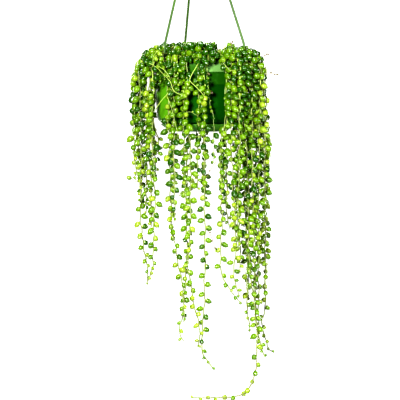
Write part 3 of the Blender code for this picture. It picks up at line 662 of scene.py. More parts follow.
stem_skin, stem_tree, stem_shader = new_material("stem skin", 0.50, Subsurface_Weight=0.10,
                                                 Subsurface_Scale=0.0008)
age = add(stem_tree, "ShaderNodeAttribute", {"attribute_name": "age"}).outputs["Fac"]
aged = reckoned(stem_tree, "MULTIPLY_ADD", noise(stem_tree, on_piece(stem_tree), 45.0, 3.0), 0.9, age)
stem_tree.links.new(toned(stem_tree, aged, STEM_GREEN, STEM_TONES), stem_shader.inputs["Base Color"])


# A leafy stem grows from a guide: a line for each stem, and a loose point at each leaf's foot. The
# tree sweeps the lines into stems and sets a leaf on each foot, turned the way that it points.
def leafy_stem_tree():
    tree = bpy.data.node_groups.new("leafy stem", "GeometryNodeTree")
    face = tree.interface
    face.new_socket("Guide", in_out="INPUT", socket_type="NodeSocketGeometry")
    for label, kind in (("Leaf", "NodeSocketObject"), ("Leaf scale", "NodeSocketFloat"),
                        ("Stem scale", "NodeSocketFloat"), ("Stem sides", "NodeSocketInt"),
                        ("Leaf skin", "NodeSocketMaterial"), ("Stem skin", "NodeSocketMaterial")):
        face.new_socket(label, in_out="INPUT", socket_type=kind)
    face.new_socket("Plant", in_out="OUTPUT", socket_type="NodeSocketGeometry")
    given = tree.nodes.new("NodeGroupInput").outputs

    def stored(name, kind):
        node = add(tree, "GeometryNodeInputNamedAttribute", {"data_type": kind}, Name=name)
        return node.outputs["Attribute"]

    split = add(tree, "GeometryNodeSeparateGeometry", {"domain": "POINT"},
                Geometry=given["Guide"], Selection=stored("is_leaf", "BOOLEAN"))
    lines = add(tree, "GeometryNodeMeshToCurve", Mesh=split.outputs["Inverted"])
    ring = add(tree, "GeometryNodeCurvePrimitiveCircle", Resolution=given["Stem sides"], Radius=1.0)
    thick = reckoned(tree, "MULTIPLY", stored("thick", "FLOAT"), given["Stem scale"])
    stems = add(tree, "GeometryNodeCurveToMesh", Curve=lines.outputs[0], Profile_Curve=ring.outputs["Curve"],
                Scale=thick, Fill_Caps=True)
    marked = add(tree, "GeometryNodeStoreNamedAttribute", {"data_type": "BOOLEAN", "domain": "FACE"},
                 Geometry=stems.outputs[0], Name="is_stem", Value=True)
    turned_out = add(tree, "FunctionNodeAlignRotationToVector", {"axis": "Z"},
                     Vector=stored("way", "FLOAT_VECTOR"))
    rolled = add(tree, "FunctionNodeAxisAngleToRotation", Axis=(0.0, 0.0, 1.0), Angle=stored("roll", "FLOAT"))
    facing = add(tree, "FunctionNodeRotateRotation", {"rotation_space": "LOCAL"},
                 Rotation=turned_out.outputs[0], Rotate_By=rolled.outputs[0])
    size = reckoned(tree, "MULTIPLY", stored("size", "FLOAT"), given["Leaf scale"])
    length = reckoned(tree, "MULTIPLY", size, stored("long", "FLOAT"))
    stretched = add(tree, "ShaderNodeCombineXYZ", X=size, Y=size, Z=length).outputs[0]
    shape = add(tree, "GeometryNodeObjectInfo", Object=given["Leaf"])
    leaves = add(tree, "GeometryNodeInstanceOnPoints", Points=split.outputs["Selection"],
                 Instance=shape.outputs["Geometry"], Rotation=facing.outputs[0], Scale=stretched)
    both = tree.nodes.new("GeometryNodeJoinGeometry")
    tree.links.new(marked.outputs[0], both.inputs[0])
    tree.links.new(leaves.outputs[0], both.inputs[0])
    smooth = add(tree, "GeometryNodeSetShadeSmooth", Geometry=both.outputs[0])
    real = add(tree, "GeometryNodeRealizeInstances", Geometry=smooth.outputs[0])
    skinned = add(tree, "GeometryNodeSetMaterial", Geometry=real.outputs[0], Material=given["Leaf skin"])
    barked = add(tree, "GeometryNodeSetMaterial", Geometry=skinned.outputs[0],
                 Selection=stored("is_stem", "BOOLEAN"), Material=given["Stem skin"])
    tree.links.new(barked.outputs[0], tree.nodes.new("NodeGroupOutput").inputs["Plant"])
    return tree


LEAFY_STEM = leafy_stem_tree()
STEM_SIDES = 6


def grown(name, stems, leaves):
    """A piece of stems, each [(point, radius, age)], and leaves (foot, way, roll, size, tint, long)."""
    points, lines, thick, ages = [], [], [], []
    for stem in stems:
        first = len(points)
        lines += [(first + k, first + k + 1) for k in range(len(stem) - 1)]
        for point, radius, age in stem:
            points.append(point)
            thick.append(radius)
            ages.append(age)
    blank = [0.0] * len(points)
    feet = [leaf[0] for leaf in leaves]
    guide = bpy.data.meshes.new(name)
    guide.from_pydata(points + feet, lines, [])
    columns = {"thick": thick + [0.0] * len(feet), "age": ages + [0.0] * len(feet)}
    for k, label in enumerate(("roll", "size", "tint", "long"), 2):
        columns[label] = blank + [leaf[k] for leaf in leaves]
    for label, values in columns.items():
        guide.attributes.new(label, "FLOAT", "POINT").data.foreach_set("value", values)
    flags = [False] * len(points) + [True] * len(feet)
    guide.attributes.new("is_leaf", "BOOLEAN", "POINT").data.foreach_set("value", flags)
    ways = [0.0] * (3 * len(points)) + [part for leaf in leaves for part in leaf[1]]
    guide.attributes.new("way", "FLOAT_VECTOR", "POINT").data.foreach_set("vector", ways)
    piece = new_object(name, guide)
    growth = piece.modifiers.new("growth", "NODES")
    growth.node_group = LEAFY_STEM
    wanted = {"Leaf": one_leaf, "Leaf scale": 1.0, "Stem scale": 1.0, "Stem sides": STEM_SIDES,
              "Leaf skin": leaf_skin, "Stem skin": stem_skin}
    for socket in LEAFY_STEM.interface.items_tree:
        if socket.name in wanted:
            growth[socket.identifier] = wanted[socket.name]
    baked(piece)
    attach(piece, "root")
    return piece


# Room: what is already there, as small balls in a grid of cells, so that each leaf is set where it
# lies beside its neighbours and not through them, the pot or the rods.
CELL = 0.012
PRESS = 0.90
taken = {}


def cell_of(point):
    """The grid cell that a point is in."""
    return (math.floor(point.x / CELL), math.floor(point.y / CELL), math.floor(point.z / CELL))


def take(centre, radius, owner):
    """Marks a ball of room as taken by its owner."""
    taken.setdefault(cell_of(centre), []).append((centre, radius, owner))


def free(centre, radius, owner=None):
    """True if a ball here would touch nothing that belongs to another owner."""
    x, y, z = cell_of(centre)
    for i in (x - 1, x, x + 1):
        for j in (y - 1, y, y + 1):
            for k in (z - 1, z, z + 1):
                for other, size, theirs in taken.get((i, j, k), ()):
                    if theirs != owner and (centre - other).length < PRESS * (radius + size):
                        return False
    return True


def gap_outside(here, outline):
    """How far a point lies outside a flat outline, negative inside it."""
    nearest, inside = 1.0, False
    for a, b in zip(outline, outline[1:] + outline[:1]):
        a, b = Vector(a), Vector(b)
        edge = b - a
        t = max(0.0, min(1.0, (here - a).dot(edge) / max(edge.length_squared, 1e-12)))
        nearest = min(nearest, (here - a - edge * t).length)
        if (a.y > here.y) != (b.y > here.y) and here.x < a.x + (here.y - a.y) * edge.x / edge.y:
            inside = not inside
    return -nearest if inside else nearest


POT_SHAPE = [(0, 0), (COLLAR_R, 0), (COLLAR_R, -COLLAR_H), (WALL_R, -COLLAR_H), (SHOULDER_R, -0.078),
             (SHOULDER_R - CORNER_R, -FLOOR_DROP), (0, -FLOOR_DROP)]
SAUCER_SHAPE = [(0, -SAUCER_TOP_DROP), (SAUCER_R, -SAUCER_TOP_DROP), (SAUCER_BASE_R, -SAUCER_DROP),
                (0, -SAUCER_DROP)]


# What the leaves keep to, as (across, height from the rim) seen from the front: the crown's outline,
# the bare places where the pot shows between them, and the clear ones that show right through.
CROWN_OUTLINE = [(-0.0990, -0.400), (-0.0990, -0.060), (-0.0970, -0.025), (-0.0905, -0.010), (-0.0855, 0.000),
                 (-0.0795, 0.0100), (-0.0710, 0.0150), (-0.0630, 0.0210), (-0.0470, 0.0225), (0.0200, 0.0255),
                 (0.0265, 0.0210), (0.0310, 0.0150), (0.0370, 0.0155), (0.0420, 0.0235), (0.0600, 0.0210),
                 (0.0790, 0.0155), (0.0855, 0.0127), (0.0905, 0.0080), (0.0935, 0.0029), (0.0965, -0.010),
                 (0.0975, -0.045), (0.1020, -0.060), (0.1020, -0.400)]
BARE_PLACES = (((-0.0172, -0.0175), (-0.0029, -0.0040)), ((-0.0135, -0.0905), (-0.0024, -0.0500)),
               ((0.0115, -0.0170), (0.0315, -0.0070)), ((0.0190, -0.0500), (0.0390, -0.0180)),
               ((0.0130, -0.0905), (0.0390, -0.0560)),
               ((-0.0586, -0.0786), (-0.0465, -0.0360)), ((-0.0640, -0.0915), (-0.0586, -0.0430)))
CLEAR_PLACES = (((-0.0740, -0.0440), (-0.0675, -0.0250)), ((-0.0640, -0.0970), (-0.0555, -0.0840)))


def in_sight(centre, radius):
    """True if a leaf here stays inside the crown's outline and out of the bare and clear places."""
    here = Vector((centre.x, centre.z - RIM_Z))
    # The leaves stop at an uneven distance from the outline, so that the edge isn't cut straight.
    inset = radius * (0.55 + 0.5 * math.sin(700 * here.x) ** 2)
    if here.y > -0.1 and gap_outside(here, CROWN_OUTLINE) > -inset:
        return False
    edge = 0.6 * radius
    places = BARE_PLACES + CLEAR_PLACES if centre.y < 0 else CLEAR_PLACES
    return not any(low[0] - edge < here.x < high[0] + edge and low[1] - edge < here.y < high[1] + edge
                   for low, high in places)


def clear_of_pot(centre, radius):
    """True if a leaf here is outside the pot and its saucer."""
    if math.hypot(centre.x, centre.y) > COLLAR_R + 0.012 or centre.z < RIM_Z - 0.12:
        return True
    here = Vector((math.hypot(centre.x, centre.y), centre.z - RIM_Z))
    return gap_outside(here, POT_SHAPE) > radius and gap_outside(here, SAUCER_SHAPE) > radius


for azimuth in ROD_AZIMUTHS:
    kink = rod_kink(azimuth)
    seat = around(azimuth, ROD_SEAT_R, RIM_Z - 0.006)
    for k in range(18):
        take(kink.lerp(meeting, k / 60), ROD_R, "rod")
        take(kink.lerp(seat, k / 17), ROD_R, "rod")
    take(around(azimuth, ROD_SEAT_R, RIM_Z - 0.003), 0.0045, "ear")
# The left rod shows in front of the crown, so the room before it is kept free.
for k in range(60):
    before = around(ROD_AZIMUTHS[0], ROD_SEAT_R, RIM_Z + KINK_RISE - 0.0025 * (k % 10))
    take(before - Vector((0, 0.005 * (1 + k // 10), 0)), 0.0022, "rod")


# The strings: each is one limp stem that runs out over the crown, round its edge and straight down,
# with a leaf every few millimetres on alternate sides. Its route is that of the frame's own string,
# but five of them (6, 10, 13, 14 and 24) are up to 9 mm to its side.
CROWN_EDGE_R = 0.0705
CROWN_TOP = ((0.0, 0.0130), (0.025, 0.0150), (0.045, 0.0145), (0.058, 0.0120), (0.066, 0.0080),
             (CROWN_EDGE_R, 0.0030))
STEM_R = 0.00076
STRING_R = 0.00092
STRING_ROOM = STEM_R + 0.0006
STRING_PALER = 0.7
PALE_STEPS = 55
STEM_STEP = 0.0035
STEM_SWAY = 0.0007
LEAF_R = 0.0042
LEAF_R_TIP = 0.0018
LEAF_SIZES = ((0.00, 0.0046), (0.10, 0.0045), (0.17, 0.0044), (0.25, 0.0042), (0.33, 0.0039), (0.60, 0.0038))
TIP_LENGTH = 0.060
FIRST_LEAF = 0.004
LEAF_LEAN = (5, 42)
LEAF_TURN = (140, 205)
TURNS_TRIED = (0, 30, -30, 60, -60, 95, -95, 140, 180)
NEXT_TRY = 0.0022
BESIDE_POT_R = 0.095
BESIDE_POT_DROP = 0.110

# How yellow the leaves are: each string has its own tint, with a little more at the left, and each
# leaf strays from its string's.
STRING_TINT = (0.10, 0.42)
LEFT_SIDE = -0.05
LEFT_TINT = 0.08
TINT_SPREAD = 0.22
MOST_TINT = 0.72

# Each string: its azimuth on the crown, how far behind the pot's axis it hangs, and its route as
# (across, drop) points, all in millimetres. The first ones run from left to right across
# the front, the last ones round the back.
STRINGS = (
    (277, -12, ((-89, 36), (-91, 86), (-91, 129), (-88, 160), (-94, 169))),
    (285, -22, ((-77, 40), (-79, 100), (-80, 164), (-82, 214), (-79, 257), (-73, 289), (-72, 317))),
    (293, -44, ((-83, 34), (-82, 86), (-81, 143), (-82, 200))),
    (299, -34, ((-66, 54), (-63, 89), (-57, 112), (-56, 136))),
    (305, -48, ((-69, 46), (-70, 100), (-67, 164), (-66, 207), (-67, 243))),
    (311, -60, ((-63.5, 51), (-65, 114), (-61, 190), (-63, 243), (-64, 289), (-73, 319))),
    (325, -64, ((-43, 43), (-41, 114), (-39, 186), (-37, 237), (-31, 272), (-20, 339), (-26, 383),
        (-20, 400))),
    (334, -76, ((-34, 46), (-34, 129), (-33, 186), (-34, 232))),
    (343, -72, ((-20, 43), (-20, 129), (-17, 200), (-16, 272), (-19, 329), (-20, 372))),
    (348, -80, ((-16, 46), (-16, 85), (-11, 129), (-11, 243), (-14, 289), (-6, 343), (3, 386), (-1, 408))),
    (359, -75, ((0, 36), (1, 100), (-1, 150), (0, 186))),
    (6, -80, ((9, 46), (9, 100), (9, 172), (10, 257), (9, 343), (6, 408), (23, 440))),
    (11, -72, ((13, 31), (16.5, 56), (21, 80), (23, 114), (21, 150))),
    (30, -70, ((39, 43), (38, 88), (32, 125), (33, 186), (34, 236), (32, 289), (41, 319), (63, 347))),
    (28, -63, ((40, 43), (40, 114), (41, 172), (40, 207))),
    (34, -70, ((47, 40), (47, 114), (51, 200), (54, 272), (50, 303), (59, 335))),
    (40, -72, ((59, 37), (59, 129), (57, 200), (57, 272))),
    (45.5, -52, ((54, 40), (56, 129), (59, 229), (60, 303))),
    (51, -54, ((67, 34), (69, 129), (72, 214), (73, 286), (79, 336), (83, 372), (84, 415), (79, 453),
        (70, 470), (53, 478), (23, 480), (-11, 480))),
    (56, -41, ((62, 34), (64, 143), (69, 257), (70, 343), (74, 386))),
    (61, -48, ((77, 29), (77, 143), (79, 257), (83, 372), (90, 408), (97, 426))),
    (66, -36, ((88, 31), (87, 143), (86, 272), (87, 386))),
    (71.3, -26, ((73, 31), (73, 143), (72, 257), (72, 343))),
    (81, -24, ((95.5, 31), (96, 100), (95, 157), (95.5, 200))),
    (87, -8, ((92, 34), (93, 100), (96, 200), (96, 343), (92, 379), (100, 410), (109, 418))),
    (93, 4, ((82, 31), (83, 143), (82, 257), (82, 343))),
    (99, 14, ((96, 37), (97, 143), (96, 257), (96, 329))),
    (109, 30, ((84, 35), (84, 120), (82, 215))),
    (124, 46, ((70, 40), (71, 150), (69, 290))),
    (137, 60, ((56, 40), (57, 130), (54, 240))),
    (154, 70, ((34, 43), (34, 114), (37, 190), (46, 245))),
    (172, 76, ((10, 40), (9, 120), (10, 205))),
    (189, 80, ((-14, 43), (-15, 130), (-17, 235))),
    (206, 74, ((-36, 40), (-37, 110), (-34, 190))),
    (226, 58, ((-62, 40), (-63, 100), (-61, 165))),
    (242, 40, ((-74, 36), (-73, 120), (-75, 225))),
    (258, 20, ((-85, 38), (-86, 100), (-83, 180))),
)

# Which stretches of a string are yellow-green with fresh growth: its number, and from what drop to
# what drop. The others are green all the way.
FRESH = {12: (0.050, 0.105), 24: (0.055, 0.150), 19: (0.455, 0.490), 8: (0.050, 0.110), 5: (0.020, 0.100),
         16: (0.200, 0.290), 10: (0.330, 0.420), 1: (0.120, 0.175), 22: (0.030, 0.115), 23: (0.010, 0.040)}
FRESH_TINT = 0.42

# One string has withered: it is thinner, and above this drop only small leaves, some dry, are on it.
WITHERED = {13: 0.100}
WITHERED_STEM = 0.6
WITHERED_LEAVES = (0.30, 0.55)
WITHERED_TINTS = (0.1, 0.3, 2.2)


def read_off(table, at):
    """What a table of (place, value) rows gives at this place, straight between its rows."""
    for (a, low), (b, high) in zip(table, table[1:]):
        if at <= b:
            return low + (high - low) * (at - a) / (b - a)
    return table[-1][1]


def metres(length):
    """A length in millimetres as metres."""
    return round(length / 1000, 6)


def string_route(azimuth, behind, points):
    """A string's own points: over the crown, round its edge, and down where it hangs."""
    hang = Vector((metres(points[0][0]), metres(behind)))
    reach = hang.length - CROWN_EDGE_R
    spread = max(reach - 0.004, 0)
    hang_azimuth = math.degrees(math.atan2(hang.x, -hang.y))
    turn = (hang_azimuth - azimuth + 180) % 360 - 180
    route = [around(azimuth, r, RIM_Z + read_off(CROWN_TOP, r) + lift)
             for r, lift in ((0.050, 0.0010), (0.0595, 0.0012), (0.0675, 0.0016 + 0.15 * spread))]
    shoulder = around(azimuth + 0.4 * turn, CROWN_EDGE_R + max(0.0024, 0.5 * reach),
                      RIM_Z + 0.0045 + 0.30 * spread)
    shoulder.z = min(shoulder.z, RIM_Z + read_off(CROWN_OUTLINE[1:-1], shoulder.x) - 0.0050)
    route.append(shoulder)
    route.append(around(azimuth + 0.9 * turn, hang.length, RIM_Z - 0.010))
    return route + [Vector((metres(x), metres(behind), RIM_Z - metres(drop))) for x, drop in points]


def swayed(line, draw):
    """The line with a slow small sway to the sides, none at its two ends."""
    phases = [draw.uniform(0, 2 * math.pi) for _ in range(4)]
    made = []
    for k, point in enumerate(line):
        along = k * STEM_STEP
        part = STEM_SWAY * min(1, along / 0.02, (len(line) - 1 - k) * STEM_STEP / 0.02)
        east = math.sin(along / 0.0080 + phases[0]) + 0.7 * math.sin(along / 0.0033 + phases[1])
        north = math.sin(along / 0.0071 + phases[2]) + 0.7 * math.sin(along / 0.0039 + phases[3])
        made.append(point + Vector((east, north, 0)) * part)
    return made


def stem_of(line, radius, age, draw, paler=0.0):
    """A stem's points with their radius, which tapers, and how old they look: less by paler at its root."""
    drift = draw.uniform(0, 2 * math.pi)
    return [(p, radius * (0.80 + 0.20 * min(1, (len(line) - k) / 12)),
             age + 0.18 * math.sin(k / 9 + drift) - paler * max(0, 1 - k / PALE_STEPS))
            for k, p in enumerate(line)]


def leaf_radius(from_top, to_tip):
    """A leaf's usual radius this far down a string: small near the string's tip."""
    size = read_off(LEAF_SIZES, from_top)
    return size if to_tip > TIP_LENGTH else LEAF_R_TIP + (size - LEAF_R_TIP) * (to_tip / TIP_LENGTH) ** 0.8


def outwards(point):
    """The direction away from the pot's axis, level."""
    return Vector((point.x, point.y, 0)).normalized()


def leaves_along(owner, line, draw, tint, fresh=None, dry=-1.0, pitch=(0.0050, 0.0086)):
    """Leaves down a line of points, on alternate sides, each turned to where there is room for it."""
    leaves, centres = [], []
    drift = draw.uniform(0, 2 * math.pi)
    total = (len(line) - 1) * STEM_STEP
    place, side = FIRST_LEAF, draw.uniform(0, 360)
    while place < total - 0.001:
        i = min(int(place / STEM_STEP), len(line) - 2)
        along = (line[i + 1] - line[i]).normalized()
        foot = line[i] + (line[i + 1] - line[i]) * (place / STEM_STEP - i)
        radius = leaf_radius(place, total - place) * draw.uniform(0.90, 1.12)
        long = draw.uniform(0.95, 1.25)
        beside_pot = foot.z > RIM_Z - BESIDE_POT_DROP and math.hypot(foot.x, foot.y) < BESIDE_POT_R
        start = (outwards(foot) if beside_pot else Vector((0, -1, 0))).cross(along).normalized()
        lean = math.radians(draw.uniform(*LEAF_LEAN))
        drop = RIM_Z - foot.z
        # Beside the pot it points away from it. It turns about the stem until it fits.
        for aside in TURNS_TRIED:
            out = Matrix.Rotation(math.radians(side + aside), 3, along) @ start
            if beside_pot:
                out = (out + 0.7 * outwards(foot)).normalized()
            way = (out * math.cos(lean) + along * math.sin(lean) + Vector((0, 0, -0.15))).normalized()
            centre = foot + way * (LEAF_CENTRE * radius * long)
            apart = all((centre - c).length > 0.85 * (radius + r) for c, r in centres[-4:])
            fits = drop < dry or in_sight(centre, radius)
            if apart and fits and clear_of_pot(centre, radius) and free(centre, radius, owner):
                break
        else:
            place += NEXT_TRY
            continue
        if drop < dry:
            leaves.append((foot, way, draw.uniform(0, 6.28), radius * draw.uniform(*WITHERED_LEAVES),
                           draw.choice(WITHERED_TINTS), long))
            place += draw.uniform(0.004, 0.012)
            side += 160
            continue
        # Yellower where growth is fresh and near the tip. Lighter far down and darker near the rim: painted
        # light and painted shade for the brighter lower strings and the darker crown.
        lime = FRESH_TINT if fresh and fresh[0] <= drop <= fresh[1] else 0.0
        lime += 0.14 * max(0, 1 - (total - place) / TIP_LENGTH) + 0.16 * min(1, max(0, drop - 0.10) / 0.15)
        lime -= 0.20 * max(0, 1 - max(0, drop) / 0.06)
        lime += 0.10 * math.sin(place / 0.021 + drift)
        shade = min(MOST_TINT, tint + lime + draw.gauss(0, TINT_SPREAD))
        leaves.append((foot, way, draw.uniform(0, 6.28), radius, shade, long))
        centres.append((centre, radius))
        take(centre, radius, owner)
        # Close together at the top and where the leaves are small, wider apart far down.
        near = min(1, place / 0.14)
        step = (pitch[0] + (pitch[1] - pitch[0]) * near) * (0.35 + 0.65 * min(1, radius / LEAF_R))
        step *= 1 + 0.45 * min(1, max(0, drop - 0.22) / 0.12)
        place += step * draw.uniform(0.75, 1.3)
        side += draw.uniform(*LEAF_TURN)
    return leaves


def even_line(points):
    """Points exactly a step apart along a smooth curve through the given points."""
    fine = smooth_curve(points, STEM_STEP / 4)
    line, left = [fine[0]], STEM_STEP
    for a, b in zip(fine, fine[1:]):
        span = (b - a).length
        while span >= left:
            a = a.lerp(b, left / span)
            line.append(a.copy())
            span = (b - a).length
            left = STEM_STEP
        left -= span
    return line


string_lines = []
for number, row in enumerate(STRINGS, 1):
    draw = random.Random(f"string {number}")
    line = swayed(even_line(string_route(*row)), draw)
    string_lines.append((number, line, draw))
    for point in line:
        take(point, STRING_ROOM, f"string {number}")

for number, line, draw in string_lines:
    tint = draw.uniform(*STRING_TINT) + (LEFT_TINT if line[-1].x < LEFT_SIDE else 0.0)
    leaves = leaves_along(f"string {number}", line, draw, tint, FRESH.get(number), WITHERED.get(number, -1.0))
    thickness = STRING_R * (WITHERED_STEM if number in WITHERED else 1)
    stem = stem_of(line, thickness, draw.uniform(0.00, 0.35), draw, STRING_PALER)
    piece = grown(f"pearls_{number:02d}", [stem], leaves)
    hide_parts(f"string_{number:02d}")


# Short strings hang between the long ones and make the curtain under the crown dense, above all on
# the right. They are thin stems like the others, in one piece for each side of the pot, with their
# routes in millimetres too.
SHORT_STRINGS = {
    "short_pearls_left": (
        (289, -34, ((-73, 44), (-73, 90))),
    ),
    "short_pearls_front": (
        (309, -64, ((-54, 20), (-53, 34))),
        (318, -70, ((-47, 18), (-48, 30))),
        (330, -72, ((-37, 28), (-38, 56))),
        (337, -78, ((-29, 24), (-28, 42))),
        (346, -80, ((-20, 20), (-22, 36))),
        (3, -80, ((3, 28), (4, 46))),
        (31, -74, ((40, 30), (40, 58))),
    ),
    "short_pearls_right": (
        (37, -62, ((48, 32), (50, 75))),
        (43, -66, ((58, 34), (58, 82))),
        (48, -60, ((66, 34), (66, 104))),
        (54, -46, ((73, 36), (74, 110))),
        (59, -36, ((79, 36), (80, 120))),
        (64, -28, ((83, 34), (84, 100))),
        (69, -34, ((90, 34), (91, 92))),
        (78, -12, ((84, 34), (83, 130))),
        (84, 0, ((90, 34), (91, 90))),
        (90, 12, ((92, 34), (95, 70))),
        (104, 20, ((90, 34), (90, 110))),
    ),
    "short_pearls_back": (
        (117, 40, ((78, 34), (78, 100))),
        (130, 54, ((63, 34), (63, 85))),
        (145, 66, ((45, 34), (45, 95))),
        (163, 74, ((22, 34), (22, 80))),
        (180, 79, ((-2, 34), (-2, 110))),
        (199, 77, ((-26, 34), (-26, 70))),
        (216, 66, ((-49, 34), (-49, 95))),
        (234, 50, ((-68, 34), (-68, 75))),
        (250, 30, ((-80, 34), (-81, 100))),
        (265, 10, ((-90, 34), (-90, 60))),
    ),
}

for name, rows in SHORT_STRINGS.items():
    stems, leaves = [], []
    for number, row in enumerate(rows):
        draw = random.Random(f"{name} {number}")
        line = swayed(even_line(string_route(*row)), draw)
        stems.append(stem_of(line, STRING_R, draw.uniform(0.00, 0.35), draw, STRING_PALER))
        tint = draw.uniform(0.12, 0.36)
        leaves += leaves_along(f"{name} {number}", line, draw, tint, pitch=(0.0054, 0.0070))
    piece = grown(name, stems, leaves)


# The crown is the mound that the pot's mouth holds: some 150 short creeping stems over and under
# each other, with their leaves packed side by side and facing up. They also spill over the edge.
CROWN_STEMS = 155
CROWN_REACH = 0.072
CROWN_PITCH = 0.0058
CROWN_LEAF_R = 0.0049
CROWN_TILTS = (0.9, 0.3, 1.6, -0.2, 3.0)
GOLDEN_ANGLE = 137.508
CROWN_TINT = (-0.24, 0.06)
LIME_STEMS = 0.07
LIME_TINT = 0.32
BACK_PAINTED_LIGHT = 0.26
MOUND = CROWN_TOP + ((0.0750, -0.0040), (0.0775, -0.0130), (0.0780, -0.0300))
MOUND_LENGTHS = [math.hypot(r1 - r0, z1 - z0) for (r0, z0), (r1, z1) in zip(MOUND, MOUND[1:])]


def mound_dip(across):
    """How far the mound sinks between its two bunches."""
    return 0.0075 * math.exp(-((across - 0.031) / 0.010) ** 2)


def on_mound(azimuth, along, lift):
    """The point this far from the mound's middle along its surface, lifted off it, and its normal."""
    left = along
    for (r0, z0), (r1, z1), length in zip(MOUND, MOUND[1:], MOUND_LENGTHS):
        if left <= length or (r1, z1) == MOUND[-1]:
            r, z = r0 + (r1 - r0) * left / length, z0 + (z1 - z0) * left / length
            out_r, out_z = (z0 - z1) / length, (r1 - r0) / length
            east = math.sin(math.radians(azimuth))
            sides = 1 + (0.17 if east > 0 else 0.05) * east ** 2
            place = around(azimuth, (r + out_r * lift) * sides, RIM_Z + z + out_z * lift)
            place.z -= mound_dip(place.x)
            return place, around(azimuth, out_r, out_z).normalized()
        left -= length


crown_draw = random.Random("crown")
crown_stems, crown_leaves = [], []
for k in range(CROWN_STEMS):
    azimuth = GOLDEN_ANGLE * k
    along = CROWN_REACH * math.sqrt((k + 0.5) / CROWN_STEMS)
    heading = crown_draw.gauss(0, 60)
    lift = crown_draw.uniform(0.0002, 0.0040)
    line = []
    for step in range(crown_draw.randint(8, 15)):
        height = lift + 0.0012 * math.sin(step * 0.9 + k)
        place, normal = on_mound(azimuth, along, height)
        if not in_sight(place, STEM_R):
            break
        line.append((place, normal))
        heading += crown_draw.gauss(0, 16)
        along = abs(along + STEM_STEP * math.cos(math.radians(heading)))
        azimuth += math.degrees(STEM_STEP * math.sin(math.radians(heading)) / max(along, 0.008))
        if along > sum(MOUND_LENGTHS) - 0.012:
            break
    if len(line) < 4:
        continue
    points = [place for place, _ in line]
    crown_stems.append(stem_of(points, STEM_R, crown_draw.uniform(-0.3, 0.1), crown_draw))
    tint = crown_draw.uniform(*CROWN_TINT) + (LIME_TINT if crown_draw.random() < LIME_STEMS else 0)
    # Painted light: leaves from the crown's middle to its back are tinted lighter, where the lamps reach
    # less.
    tint += BACK_PAINTED_LIGHT * min(1, max(0, (points[0].y + 0.045) / 0.03))
    tint -= 0.12 if points[0].x < -0.02 else 0.04
    place, side = 0.002, 1
    while place < (len(line) - 1) * STEM_STEP:
        i = int(place / STEM_STEP)
        foot = points[i].lerp(points[min(i + 1, len(points) - 1)], place / STEM_STEP - i)
        onward = (points[min(i + 1, len(points) - 1)] - points[max(i - 1, 0)]).normalized()
        normal = line[i][1]
        across = onward.cross(normal).normalized()
        radius = CROWN_LEAF_R * crown_draw.uniform(0.84, 1.12)
        long = crown_draw.uniform(0.92, 1.20)
        # Tried flatter and steeper, on one side and the other, until there is room.
        for tilt in CROWN_TILTS:
            way = (across * side * crown_draw.uniform(0.5, 1.0) + normal * tilt + onward * 0.25).normalized()
            centre = foot + way * (LEAF_CENTRE * radius * long)
            if in_sight(centre, radius) and clear_of_pot(centre, radius) and free(centre, 1.07 * radius):
                crown_leaves.append((foot, way, crown_draw.uniform(0, 6.28), radius,
                                     tint + crown_draw.gauss(0, 0.12), long))
                take(centre, radius, "crown")
                break
            side = -side
        place += CROWN_PITCH * crown_draw.uniform(0.8, 1.25)
        side = -side
crown = grown("crown_of_leaves", crown_stems, crown_leaves)
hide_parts("crown")


# Wild stems cross over the others in front of the crown and the pot, nearly bare, with a few young
# leaves. Some are dried flower stalks that stand out of the crown, brown and with specks for buds.
LIME, GREEN, DRY = 0.62, 0.34, 2.2
WILD_STEP = 0.0025

